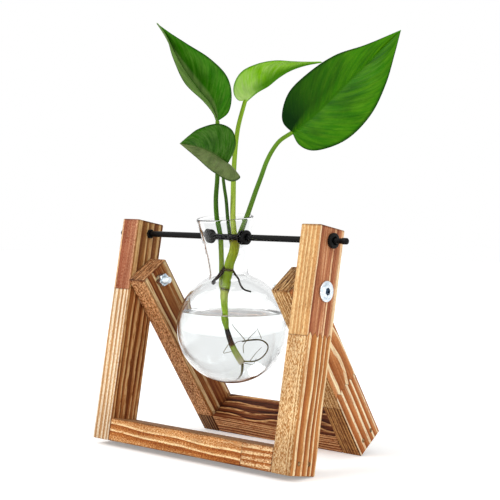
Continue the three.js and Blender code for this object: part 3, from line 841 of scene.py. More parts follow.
def make_mesh(name: str, rows: Sequence[Row], loop: bool = False) -> Mesh:
    """A closed skin over rings of points in millimetres, with its faces turned outwards. A
    ring of one point closes to a tip.

    Args:
        name: The mesh's name.
        rows: Rings of the same length, or of one point.
        loop: Whether the last ring joins the first.

    Returns:
        The mesh in metres.
    """
    points: list = []
    starts = []
    for row in rows:
        starts.append(len(points))
        points.extend(tuple(c * MM for c in point) for point in row)
    pairs = [(i, i + 1) for i in range(len(rows) - 1)] + ([(len(rows) - 1, 0)] if loop else [])
    faces = []
    for a, b in pairs:
        count = max(len(rows[a]), len(rows[b]))
        for k in range(count):
            j = (k + 1) % count
            corners = [(a, k), (a, j), (b, j), (b, k)]
            face = [starts[row] + (i if len(rows[row]) > 1 else 0) for row, i in corners]
            faces.append(list(dict.fromkeys(face)))
    mesh = bpy.data.meshes.new(name)
    mesh.from_pydata(points, [], faces)
    shape = bmesh.new()
    shape.from_mesh(mesh)
    bmesh.ops.recalc_face_normals(shape, faces=shape.faces)
    shape.to_mesh(mesh)
    shape.free()
    return mesh


def turned(
    name: str, profile: Profile, sides: int, turn: Matrix | None = None, loop: bool = False,
) -> Mesh:
    """A body turned about X, as on a lathe.

    Args:
        name: The mesh's name.
        profile: Its radius and place along X, from point to point.
        sides: How many points round it.
        turn: Where to move it, in millimetres.
        loop: Whether the profile joins up with its own start.

    Returns:
        The mesh.
    """
    rows = [circle(radius, x, sides) for radius, x in profile]
    if turn:
        rows = [[turn @ point for point in row] for row in rows]
    return make_mesh(name, rows, loop)


def cut_away(mesh: Mesh, cutters: Sequence[Mesh]) -> Mesh:
    """Drills a mesh with other meshes in the same axes.

    Args:
        mesh: What is drilled.
        cutters: The drills.

    Returns:
        A new mesh with the holes.
    """
    target = put("drilled", mesh)
    tools = [put("drill", cutter) for cutter in cutters]
    for tool in tools:
        hole = target.modifiers.new("hole", "BOOLEAN")
        hole.operation = "DIFFERENCE"
        hole.solver = "EXACT"
        hole.object = tool
    depsgraph = bpy.context.evaluated_depsgraph_get()
    result = bpy.data.meshes.new_from_object(target.evaluated_get(depsgraph))
    for gone in [target, *tools]:
        bpy.data.objects.remove(gone)
    return result


def drill(radius: float, start: float, end: float, turn: Matrix | None = None) -> Mesh:
    """A round cutter along X from a start to an end, moved by a turn in millimetres."""
    sides = 48 if radius > NARROW_HOLE else 20
    return turned("drill", [(0, start), (radius, start), (radius, end), (0, end)], sides, turn)


def dress(
    name: str, mesh: Mesh, place: Matrix, body: Body, finish: Material, slot: str,
    nodes: Sequence[str] = (), crease: float | None = None,
) -> None:
    """Puts a piece in its place, gives it its finish, hangs it on its body and hides the CAD nodes that it
    stands for.

    Args:
        name: The piece's name.
        mesh: Its mesh, in the axes of its place.
        place: Where those axes are.
        body: What it rides on.
        finish: Its material.
        slot: The name of a material slot. Not used.
        nodes: The CAD nodes that it stands for.
        crease: Where given, the mesh is shaded smooth up to this angle in degrees.
    """
    if crease:
        mesh.polygons.foreach_set("use_smooth", [True] * len(mesh.polygons))
        mesh.set_sharp_from_angle(angle=math.radians(crease))
    piece = put(name, mesh)
    mesh.materials.clear()
    mesh.materials.append(finish)
    piece.matrix_world = place
    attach(piece, body.value)
    if nodes:
        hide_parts(*nodes)
    log.info("%s: %d faces on %s", name, len(mesh.polygons), body.value)


def mark(mesh: Mesh, **marks: Sequence[float]) -> None:
    """Stores numbers by name, one for each point of a mesh, for its material."""
    for name, values in marks.items():
        mesh.attributes.new(name, "FLOAT", "POINT").data.foreach_set("value", np.asarray(values, np.float32))


class SmoothCurve:
    """A curve through points, walked by its length, as the CAD draws the plant."""

    def __init__(self, points: Row, samples: int = 24) -> None:
        """Samples the curve through the points.

        Args:
            points: What it passes through.
            samples: How many samples lie between two of them.
        """
        p = np.asarray(points, float)
        p = np.vstack([2 * p[0] - p[1], p, 2 * p[-1] - p[-2]])
        found = []
        for i in range(1, len(p) - 2):
            a, b, c, d = p[i - 1 : i + 3]
            pairs = ((a, b), (b, c), (c, d))
            t0, t1, t2 = (max(float(np.sum((v - u) ** 2)) ** 0.25, 1e-4) for u, v in pairs)
            m1 = ((b - a) / t0 - (c - a) / (t0 + t1) + (c - b) / t1) * t1
            m2 = ((c - b) / t1 - (d - b) / (t1 + t2) + (d - c) / t2) * t1
            for t in np.linspace(0, 1, samples, endpoint=False):
                cubic = (2 * b - 2 * c + m1 + m2) * t**3 + (-3 * b + 3 * c - 2 * m1 - m2) * t**2
                found.append(cubic + m1 * t + b)
        found.append(p[-2])
        self.line = np.array(found)
        steps = np.linalg.norm(np.diff(self.line, axis=0), axis=1)
        self.shares = np.concatenate([[0], np.cumsum(steps)]) / steps.sum()

    def at(self, share: float) -> np.ndarray:
        """The point at a share of the curve's length."""
        return np.array([np.interp(share, self.shares, self.line[:, k]) for k in range(3)])


def tube(points: Row, radius: Callable[[float], float], steps: int, sides: int) -> Mesh:
    """A round tapering solid along a smooth curve, with rounded ends.

    Args:
        points: What the curve passes through.
        radius: The radius at a share of the length.
        steps: How many steps along it.
        sides: How many points round it.

    Returns:
        The mesh, marked with each point's share along it and its place round it.
    """
    curve = SmoothCurve(points)
    shares = np.linspace(0, 1, steps + 1)
    centres = np.array([curve.at(s) for s in shares])
    tangents = np.gradient(centres, axis=0)
    tangents /= np.linalg.norm(tangents, axis=1)[:, None]
    rings = [(s, centre, tangent, radius(s)) for s, centre, tangent in zip(shares, centres, tangents)]
    # Each end stands out by half its radius, so that it looks grown and not cut
    for end, outwards in ((0, -0.5), (1, 0.5)):
        centre, tangent, size = centres[-end], tangents[-end], radius(end)
        for angle in (30, 60, 90):
            lift, narrowing = math.sin(math.radians(angle)), math.cos(math.radians(angle))
            ring = (end, centre + tangent * size * outwards * lift, tangent, size * narrowing)
            rings.insert(len(rings) if end else 0, ring)
    side = np.cross(tangents[0], (0.3, 0.9, 0.2))
    rows, along, across = [], [], []
    for share, centre, tangent, size in rings:
        side = side - tangent * np.dot(side, tangent)
        side /= np.linalg.norm(side)
        other = np.cross(tangent, side)
        angles = turns(sides) if size > TIP_RADIUS else [0.0]
        rows.append([centre + size * (side * math.cos(a) + other * math.sin(a)) for a in angles])
        along.extend([share] * len(angles))
        across.extend(0.5 - abs(a / (2 * math.pi) - 0.5) for a in angles)
    mesh = make_mesh("tube", rows)
    mark(mesh, along=along, across=across)
    return mesh


# Sub-assemblies


@dataclass
class WoodenFrame:
    """One U of the stand: two posts and the bar between their lower ends."""

    label: str
    body: Body
    lean: float
    post_x: float
    length: float
    pivot_up: float
    finishes: dict[str, ScorchedPine]
    rod_up: float | None = None
    thickness: float = 16.5
    width: float = 27.0
    arris: float = 0.9
    bolt_hole: float = 2.8
    rod_hole: float = 2.5
    drill_reach: float = 20.0
    nail_hole: float = 1.0
    nail_head_hole: float = 1.55
    nail_head_depth: float = 1.5
    nail_length: float = 32.0
    nail_spacing: float = 11.0
    flat_share: float = 0.9985

    def timber(self, name: str, start: float, end: float) -> Mesh:
        """A squared timber along Z with softened arrises.

        Args:
            name: The mesh's name.
            start: Its lower end.
            end: Its upper end.

        Returns:
            The mesh before drilling.
        """
        shape = bmesh.new()
        bmesh.ops.create_cube(shape, size=1.0)
        for vertex in shape.verts:
            x, y, z = vertex.co
            up = start + (z + 0.5) * (end - start)
            vertex.co = (x * self.thickness * MM, y * self.width * MM, up * MM)
        bmesh.ops.bevel(
            shape, geom=shape.edges[:], offset=self.arris * MM, segments=4, profile=0.5, affect="EDGES",
        )
        mesh = bpy.data.meshes.new(name)
        shape.to_mesh(mesh)
        shape.free()
        return mesh

    def nail_drills(self, outer: float, sign: int, turn: Matrix) -> list[Mesh]:
        """Cutters for the two brads of one corner.

        Args:
            outer: Where the post's outer face is along the drill's X.
            sign: The side the nails are driven from.
            turn: Moves a cutter along X to the corner.

        Returns:
            The cutters.
        """
        found = []
        shank = (self.nail_hole, self.nail_length + FIT_GAP)
        head = (self.nail_head_hole, self.nail_head_depth)
        for step in (-0.5, 0.5):
            place = turn @ Matrix.Translation((0, step * self.nail_spacing, 0))
            for radius, depth in (shank, head):
                ends = sorted((sign * (outer + 1), sign * (outer - depth)))
                found.append(drill(radius, *ends, place))
        return found

    def fit(
        self, node: str, part: str, ends: tuple[float, float], drills: Sequence[Mesh], place: Matrix,
    ) -> None:
        """Drills and dresses one timber. Its arrises and holes are shaded smooth, and its
        planed faces stay flat.

        Args:
            node: The CAD node that it stands for.
            part: Which of the frame's finishes it takes.
            ends: Its lower and upper end.
            drills: Its cutters.
            place: Where its own axes are.
        """
        mesh = cut_away(self.timber(node, *ends), drills)
        for polygon in mesh.polygons:
            polygon.use_smooth = max(abs(c) for c in polygon.normal) < self.flat_share
        mesh.set_sharp_from_angle(angle=math.radians(35))
        finish = self.finishes[part].material()
        dress(f"{node}_timber", mesh, place, self.body, finish, "scorched_pine", [node])

    def build(self) -> None:
        """Builds and dresses the posts and the bar."""
        place = placed(PIVOT, self.lean)
        nail_up = self.thickness / 2 - self.pivot_up
        ends = (-self.pivot_up, self.length - self.pivot_up)
        for side in Side:
            drills = [drill(self.bolt_hole, -self.drill_reach, self.drill_reach)]
            if self.rod_up:
                rod_place = Matrix.Translation((0, 0, self.rod_up))
                drills.append(drill(self.rod_hole, -self.drill_reach, self.drill_reach, rod_place))
            drills += self.nail_drills(self.thickness / 2, side.value, Matrix.Translation((0, 0, nail_up)))
            where = shifted(place, x=side.value * self.post_x)
            self.fit(f"{self.label}_{side.word}_post", side.word, ends, drills, where)
        half = self.post_x - self.thickness / 2 - FIT_GAP
        # The bar's own Z runs along the rod, so that its grain does too
        lengthwise = Matrix.Rotation(math.radians(-90), 4, "Y")
        drills = [
            cutter for side in Side
            for cutter in self.nail_drills(self.post_x + self.thickness / 2, side.value, lengthwise)
        ]
        where = shifted(place, z=nail_up) @ Matrix.Rotation(math.radians(90), 4, "Y")
        self.fit(f"{self.label}_bar", "bar", (-half, half), drills, where)


@dataclass
class PivotHardware:
    """The two bolts that the frames fold on, with their nuts."""

    bolt_finish: ZincPlatedSteel
    nut_finish: ZincPlatedSteel
    nut_seat: float = 60.3
    shank: float = 2.5
    shank_gap: float = 0.3
    head: float = 7.1
    head_height: float = 2.0
    head_edge: float = 0.25
    rim_edge: float = 0.55
    rim_height: float = 1.3
    groove: tuple[tuple[float, float], ...] = ((0.7, 1.34), (0.4, 1.1), (0.05, 1.1))
    boss: float = 4.7
    boss_edge: float = 0.5
    socket: float = 2.3
    socket_depth: float = 1.4
    socket_floor: float = 1.2
    nut_flat: float = 4.3
    nut_thickness: float = 5.0
    nut_rise: float = 1.6
    nut_heights: tuple[float, ...] = (0.0, 0.12, 0.25, 0.4, 0.55)
    nut_corner_height: float = 1.2
    nut_bore_gap: float = 0.12
    nut_lead_in: float = 0.5
    tip: float = 5.0
    pitch: float = 0.8
    thread_depth: float = 0.36
    thread_chamfer: float = 0.5
    thread_past_nut: float = 3.0
    sides: int = 72

    def thread(self, start: float, end: float) -> list[list[Vector]]:
        """A screw thread with a chamfered point.

        Args:
            start: The bolt's inner end.
            end: Where the thread runs out.

        Returns:
            Its rings.
        """
        rows = [circle(0, start, self.sides), circle(self.shank - 0.6, start, self.sides)]
        for x in np.arange(start + 0.25, end, self.pitch / 7):
            chamfer = self.shank - self.thread_chamfer + (x - start)
            row = []
            for angle in turns(self.sides):
                wave = abs(((x / self.pitch + angle / (2 * math.pi)) % 1) * 2 - 1)
                row.append(round_x(min(self.shank - self.thread_depth * wave, chamfer), x, angle))
            rows.append(row)
        return rows

    def bolt(self) -> Mesh:
        """A screw thread, a plain shank and a flat round head with a hexagon socket.

        Returns:
            The right-hand bolt's mesh.
        """
        seat = POST_OUTER + FIT_GAP
        top = seat + self.head_height
        end = self.nut_seat - FIT_GAP - self.nut_thickness - self.tip
        thread_end = end + self.tip + self.nut_thickness + self.thread_past_nut
        rim = (self.head - self.rim_edge, seat + self.rim_height - self.rim_edge)
        profile = [(self.shank, thread_end + self.shank_gap), (self.shank, seat)]
        profile += arc((self.head - self.head_edge, seat + self.head_edge), self.head_edge, -90, 0, 3)
        profile += arc(rim, self.rim_edge, 0, 80, 6)
        profile += [(self.boss + out, seat + up) for out, up in self.groove]
        profile += arc((self.boss - self.boss_edge, top - self.boss_edge), self.boss_edge, 20, 88, 5)
        profile += [(self.socket + 0.75, top)]
        rows = self.thread(end, thread_end) + [circle(r, x, self.sides) for r, x in profile]
        corner = self.socket / math.cos(math.pi / 6)
        floor = top - self.socket_depth
        # The hexagon's edge is broken where the key goes in
        rows.append(circle(corner + 0.25, top, self.sides, self.socket + 0.2))
        rows += [circle(corner, x, self.sides, self.socket) for x in (top - 0.3, floor + 0.1)]
        rows += [circle(self.socket_floor, floor, self.sides), circle(0, floor - 0.2, self.sides)]
        return make_mesh("bolt", rows)

    def nut(self) -> Mesh:
        """A hexagon nut with chamfered corners and a threaded bore.

        Returns:
            The right-hand nut's mesh.
        """
        seat = self.nut_seat - FIT_GAP
        far = seat - self.nut_thickness
        corner = self.nut_flat / math.cos(math.pi / 6)
        bore = self.shank + self.nut_bore_gap
        chamfer = [(self.nut_flat - 0.1 + self.nut_rise * up, up) for up in self.nut_heights]
        outer = [(r, far + up) for r, up in chamfer]
        outer += [(corner, far + self.nut_corner_height), (corner, seat - self.nut_corner_height)]
        outer += [(r, seat - up) for r, up in reversed(chamfer)]
        rows = [circle(min(r, corner), x, self.sides, self.nut_flat) for r, x in outer]
        lead_in, wide = self.nut_lead_in, bore + self.nut_lead_in
        rows += [circle(wide, seat, self.sides), circle(bore, seat - lead_in, self.sides)]
        for x in np.arange(seat - 0.7, far + 0.6, -self.pitch / 4):
            wave = self.nut_bore_gap * math.cos(2 * math.pi * x / self.pitch)
            rows.append(circle(bore + wave, x, self.sides))
        rows += [circle(bore, far + lead_in, self.sides), circle(wide, far, self.sides)]
        return make_mesh("nut", rows, loop=True)

    def build(self) -> None:
        """Builds and dresses both bolts and both nuts."""
        place = placed(PIVOT, FRONT_LEAN)
        kinds = (("bolt", self.bolt, self.bolt_finish), ("nut", self.nut, self.nut_finish))
        for side in Side:
            for kind, shape, metal in kinds:
                node = f"{kind}_{side.word}"
                where = place @ side.turn
                dress(f"{node}_zinc", shape(), where, Body.FRONT, metal.material(), "zinc_steel", [node], 28)


@dataclass
class HangingRod:
    """The rod through both front posts and the vase's neck, with its rubber rings."""

    finish: BlackOxideSteel
    rubber: MouldedRubber
    up: float = 34.0
    radius: float = ROD_RADIUS
    post_inner: float = 77.5
    past_post: float = 13.5
    waist_depth: float = 0.35
    waist_length: float = 4.5
    waist_run: float = 0.6
    waist_end: float = 0.8
    waist_curve: tuple[tuple[float, float], ...] = ((0.15, 0.3), (0.5, 0.6), (0.85, 0.9))
    button_length: float = 4.2
    dome: float = 1.2
    end_ring: tuple[float, float] = (2.8, 2.8)
    stop_ring: tuple[float, float] = (0.9, 1.6)
    ring_sides: int = 32
    ring_fullness: float = 0.6

    def rod(self) -> Mesh:
        """A drawn rod with a waisted, domed button at each end.

        Returns:
            The mesh.
        """
        end = POST_OUTER + self.past_post
        button = end - self.button_length
        neck = button - self.waist_length
        thin = self.radius - self.waist_depth
        curve = [
            (self.radius - self.waist_depth * down, self.waist_run * out) for down, out in self.waist_curve
        ]
        half = [(self.radius, x) for x in np.linspace(0, neck, 24)]
        half += [(r, neck + x) for r, x in curve]
        half += [(thin, neck + self.waist_end), (thin, button - self.waist_end)]
        half += [(r, button - x) for r, x in reversed(curve)]
        half += [(self.radius, button), (self.radius, end - self.dome)]
        for angle in np.radians([15, 30, 45, 60, 75]):
            half.append((self.radius * math.cos(angle), end - self.dome + self.dome * math.sin(angle)))
        half.append((0, end))
        return turned("rod", [(r, -x) for r, x in reversed(half)] + half[1:], 48)

    def ring(self, start: float, wall: float, thickness: float) -> Mesh:
        """A rubber ring with full round edges.

        Args:
            start: Its inner side along the rod.
            wall: Its rubber past the bore.
            thickness: Its length along the rod.

        Returns:
            The mesh.
        """

        def swell(wave: float) -> float:
            """How far along its half wall a point of the section lies, from -1 to 1."""
            return math.copysign(abs(wave) ** self.ring_fullness, wave)

        out, along = self.radius + FIT_GAP + wall / 2, start + thickness / 2
        profile = [
            (out + wall / 2 * swell(math.cos(a)), along + thickness / 2 * swell(math.sin(a)))
            for a in turns(self.ring_sides)
        ]
        return turned("ring", profile, 64, loop=True)

    def build(self) -> None:
        """Builds and dresses the rod and its four rings."""
        place = shifted(placed(PIVOT, FRONT_LEAN), z=self.up)
        dress("rod_drawn", self.rod(), place, Body.ROD, self.finish.material(), "black_rod", ["rod"], 40)
        rubber = self.rubber.material()
        rings = (
            ("end_ring", POST_OUTER + FIT_GAP, self.end_ring),
            ("stop_ring", self.post_inner - FIT_GAP - self.stop_ring[1], self.stop_ring),
        )
        for side in Side:
            for kind, start, size in rings:
                node = f"rod_{kind}_{side.word}"
                mesh, where = self.ring(start, *size), place @ side.turn
                dress(f"{node}_moulded", mesh, where, Body.ROD, rubber, "black_rubber", [node], 60)


@dataclass
class GlassVase:
    """The blown vase with the grommets in its neck and the water in its bulb."""

    glass: BlownGlass
    rubber: MouldedRubber
    water: StillWater
    wall: float = 1.4
    rim_up: float = 14.0
    rim_flare: float = 6.5
    neck: float = 14.0
    bend: float = 4.0
    flare_power: float = 1.35
    bulb: float = 40.0
    bulb_down: float = 66.0
    base_flat: float = 6.0
    base_hollow: float = 0.3
    grommet_wall: float = 1.4
    grommet_sides: int = 72
    grommet_soft: float = 0.9
    flange_lip: float = 1.0
    flange_out: float = 2.6
    flange_in: float = 2.4
    water_up: float = 10.6
    water_curl_up: float = 0.9
    water_curl_out: float = 3.2
    water_curl_power: float = 2.6
    sides: int = 128

    @property
    def bend_place(self) -> tuple[float, float, float]:
        """The neck bend's centre radius, its height over the bulb's centre, and over the rod.

        Returns:
            The radius and the two heights.
        """
        out = self.neck + self.bend
        above = math.sqrt((self.bulb + self.bend) ** 2 - out**2)
        return out, above, above - self.bulb_down

    @property
    def hole(self) -> float:
        """The radius of the holes in the neck."""
        return ROD_RADIUS + self.grommet_wall + 2 * FIT_GAP

    def neck_radius(self, up: float) -> float:
        """The neck's outer radius at a height over the rod.

        Args:
            up: The height.

        Returns:
            The radius.
        """
        start = self.bend_place[2]
        share = max(0.0, up - start) / (self.rim_up - start)
        return self.neck + self.rim_flare * share**self.flare_power

    def surface(self, inset: float, top: float) -> Profile:
        """The wall's profile under the outer face, from the rim down to the axis.

        Args:
            inset: The depth under the outer face.
            top: Where the profile starts over the rod.

        Returns:
            Profile points as (radius, height).
        """
        out, above, up = self.bend_place
        heights = np.linspace(top, up, 30, endpoint=False)
        points = [(self.neck_radius(h) - inset, float(h)) for h in heights]
        end = math.degrees(math.atan2(above, out))
        points += arc((out, up), -(self.bend + inset), 0, end, 12)
        points += arc((0, -self.bulb_down), self.bulb - inset, end, -90, 72)[1:]
        return points

    def vase(self) -> Mesh:
        """The glass wall with its round lip, its flat foot and the two holes.

        Returns:
            The mesh.
        """
        lip = self.wall / 2
        top = self.rim_up - lip
        inside = self.surface(self.wall, top)
        inside[-1] = (0, inside[-1][1])
        outside = [p for p in self.surface(0, top) if p[0] > self.base_flat or p[1] > -self.bulb_down]
        round_lip = arc((self.neck_radius(top) - lip, top), lip, 180, 0, 10)[1:-1]
        foot = -math.sqrt(self.bulb**2 - self.base_flat**2) - self.bulb_down
        foot_rows = [
            (self.base_flat, foot), (self.base_flat - 0.8, foot), (self.base_flat - 1.6, foot + 0.25),
            (0, foot + self.base_hollow),
        ]
        profile = inside[::-1] + round_lip + outside + foot_rows
        return cut_away(turned("vase", profile, self.sides, UPRIGHT), [drill(self.hole, -30, 30)])

    def grommet(self) -> Mesh:
        """A rubber grommet for the right-hand hole, moulded to the glass on both sides.

        Returns:
            The mesh.
        """
        bore = ROD_RADIUS + FIT_GAP
        hub = self.hole - FIT_GAP
        flange = self.hole + self.flange_lip
        seat = self.neck_radius(0)
        outer = seat + self.flange_out
        inner = seat - self.wall - self.flange_in
        soft = self.grommet_soft

        def glass(radius: float, angle: float, inset: float) -> float:
            """How far out along the rod the glass is, at a radius and an angle round the hole."""
            across, up = radius * math.cos(angle), radius * math.sin(angle)
            return math.sqrt((self.neck_radius(up) - inset) ** 2 - across**2)

        columns = []
        for angle in turns(self.grommet_sides):
            points = [(bore, inner + 0.4), (bore, outer - 0.4)]
            points += [(bore + 0.2, outer - 0.1), (bore + 0.5, outer)]
            points += arc((flange - soft, outer - soft), soft, 90, 10, 4)
            points += [(r, glass(r, angle, 0) + FIT_GAP) for r in (flange, flange - 0.5, hub)]
            points += [(r, glass(r, angle, self.wall) - FIT_GAP) for r in (hub, flange - 0.5, flange)]
            points += arc((flange - soft, inner + soft), soft, -10, -90, 4)
            points += [(bore + 0.3, inner)]
            columns.append([round_x(r, x, angle) for r, x in points])
        return make_mesh("grommet", [list(row) for row in zip(*columns)], loop=True)

    def pool(self) -> Mesh:
        """The water about the upright line through the bulb's centre, curling up at the glass.

        Returns:
            The mesh.
        """
        radius = self.bulb - self.wall - FIT_GAP
        edge = math.degrees(math.asin((self.water_up + self.water_curl_up) / radius))
        profile = [(0, -radius)] + arc((0, 0), radius, -89, edge, 80)
        rim_radius, rim_up = profile[-1]
        for t in np.linspace(0.08, 1, 14):
            up = self.water_up + (rim_up - self.water_up) * (1 - t) ** self.water_curl_power
            profile.append((rim_radius - self.water_curl_out * t, up))
        profile += [(r, self.water_up) for r in (28, 20, 12, 5, 0)]
        return turned("pool", profile, self.sides, UPRIGHT)

    def build(self) -> None:
        """Builds and dresses the vase, its grommets and the water."""
        place = placed(ROD_CENTRE, VASE_LEAN)
        glass, rubber, water = (finish.material() for finish in (self.glass, self.rubber, self.water))
        dress("glass_vase_blown", self.vase(), place, Body.VASE, glass, "clear_glass", ["glass_vase"], 50)
        for side in Side:
            node = f"neck_grommet_{side.word}"
            where = place @ side.turn
            dress(f"{node}_moulded", self.grommet(), where, Body.VASE, rubber, "black_rubber", [node], 60)
        centre = Matrix.Translation(shifted(place, z=-self.bulb_down).translation)
        dress("water_pool", self.pool(), centre, Body.VASE, water, "water", ["water"], 60)


@dataclass(frozen=True)
class Leaf:
    """One leaf blade, by its midrib and its margins to the right and left of it."""

    node: str
    base: tuple[float, float, float]
    tip: tuple[float, float, float]
    midrib: Row
    right: Row
    left: Row
    finish: PothosLeaf


@dataclass(frozen=True)
class Stalk:
    """A stem, leaf stalk or root, by the points it passes through."""

    node: str
    radius: float
    tip_radius: float
    points: Row
    finish: PlantSkin
    slot: str
    steps: int = 90

    def radius_at(self, share: float) -> float:
        """Its radius at a share of its length."""
        return self.radius + (self.tip_radius - self.radius) * share


@dataclass(frozen=True)
class Stem(Stalk):
    """The cutting's main stem, with a waist under water and a swelling at each node."""

    waist: float = 1.35
    waist_share: float = 0.74
    thinning_power: float = 2.2
    swelling: float = 0.35
    swelling_spread: float = 0.03
    node_shares: tuple[float, ...] = (0.26, 0.42, 0.7)

    def radius_at(self, share: float) -> float:
        """Its radius at a share of its length.

        Args:
            share: From 0 at its top to 1.

        Returns:
            The radius.
        """
        swollen = max(math.exp(-(((share - at) / self.swelling_spread) ** 2)) for at in self.node_shares)
        thinning = min(1.0, share / self.waist_share) ** self.thinning_power
        regrowth = max(0.0, share - self.waist_share) / (1 - self.waist_share)
        thinned = self.radius + (self.waist - self.radius) * thinning
        return thinned + (self.tip_radius - self.waist) * regrowth + self.swelling * swollen


@dataclass
class Cutting:
    """The pothos cutting: its stem, stalks, leaves and roots, in the plane its leaves fan in."""

    stalks: Sequence[Stalk]
    leaves: Sequence[Leaf]
    hairs: Sequence[Row]
    hair_finish: PlantSkin
    hair_radius: float = 0.21
    hair_sides: int = 8
    hair_steps: int = 40
    stalk_sides: int = 24
    blade: float = 0.6
    rib: float = 0.9
    rib_width: float = 0.05
    lobe_power: float = 1.3
    quilting: float = 0.28
    hollow: float = 0.7
    hollow_width: float = 0.07
    camber: float = 0.5
    rows: int = 90
    columns: int = 26

    def hair_radius_at(self, share: float) -> float:
        """A hair root's radius at a share of its length, which tapers."""
        return self.hair_radius * (1.1 - 0.5 * share)

    def sheet(self, leaf: Leaf, shares: np.ndarray, across: np.ndarray) -> np.ndarray:
        """A blade's middle as a plain sheet between its midrib and its margins.

        Args:
            leaf: The leaf.
            shares: Shares of its length.
            across: Places across it, from -1 to 1.

        Returns:
            A point for each share and place.
        """
        midrib, left, right = (
            SmoothCurve([leaf.base, *line, leaf.tip]) for line in (leaf.midrib, leaf.left, leaf.right)
        )
        rows = []
        for share in shares:
            middle, edges = midrib.at(share**self.lobe_power), (left.at(share), right.at(share))
            rows.append([middle * (1 - abs(a)) + edges[int(a > 0)] * abs(a) for a in across])
        return np.array(rows)

    def leaf(self, leaf: Leaf) -> Mesh:
        """A blade with a hollow midrib, quilted between its side veins.

        Args:
            leaf: The leaf to build.

        Returns:
            The mesh, marked with each point's place along and across the blade.
        """
        shares = np.arange(1, self.rows) / self.rows
        across = np.linspace(-1, 1, 2 * self.columns + 1)
        sheet = self.sheet(leaf, shares, across)
        normals = np.cross(np.gradient(sheet, axis=1), np.gradient(sheet, axis=0))
        normals /= np.linalg.norm(normals, axis=2)[:, :, None]
        width = np.abs(across)[None, :]
        share = shares[:, None]
        phase = (share - VEIN_SWEEP * width) * SIDE_VEINS
        arch = np.sin(np.pi * width)
        quilt = self.quilting * np.sin(np.pi * (phase % 1)) ** 0.7 * arch * np.sin(np.pi * share) ** 0.5
        hollow = -self.hollow * np.exp(-((width / self.hollow_width) ** 2)) * (1 - share)
        camber = self.camber * arch
        middle = sheet + normals * (quilt + hollow + camber)[:, :, None]
        rib = self.rib * 0.6 * np.exp(-((width / self.rib_width) ** 2)) * (1 - share) ** 1.2
        thick = self.blade / 2 * (1 - width**6) + rib
        upper = middle + normals * (thick * 0.8)[:, :, None]
        lower = middle - normals * thick[:, :, None]
        rows, along, marks = [[leaf.base]], [0.0], [0.0]
        back = slice(-2, 0, -1)
        for i, s in enumerate(shares):
            rows.append([*upper[i], *lower[i][back]])
            marks.extend([*across, *across[back]])
            along.extend([s] * len(rows[-1]))
        mesh = make_mesh(leaf.node, [*rows, [leaf.tip]])
        mark(mesh, along=[*along, 1.0], across=[*marks, 0.0])
        return mesh

    def build(self) -> None:
        """Builds and dresses every piece of the plant."""
        place = placed(ROD_CENTRE, 0, FAN_TURN)
        for stalk in self.stalks:
            mesh = tube(stalk.points, stalk.radius_at, stalk.steps, self.stalk_sides)
            skin = stalk.finish.material()
            dress(f"{stalk.node}_grown", mesh, place, Body.VASE, skin, stalk.slot, [stalk.node], 70)
        for leaf in self.leaves:
            green = leaf.finish.material()
            mesh = self.leaf(leaf)
            dress(f"{leaf.node}_blade", mesh, place, Body.VASE, green, "green_leaf", [leaf.node], 80)
        brown = self.hair_finish.material()
        for number, points in enumerate(self.hairs, 1):
            mesh = tube(points, self.hair_radius_at, self.hair_steps, self.hair_sides)
            dress(f"hair_root_{number}", mesh, place, Body.VASE, brown, "brown_root", crease=70)


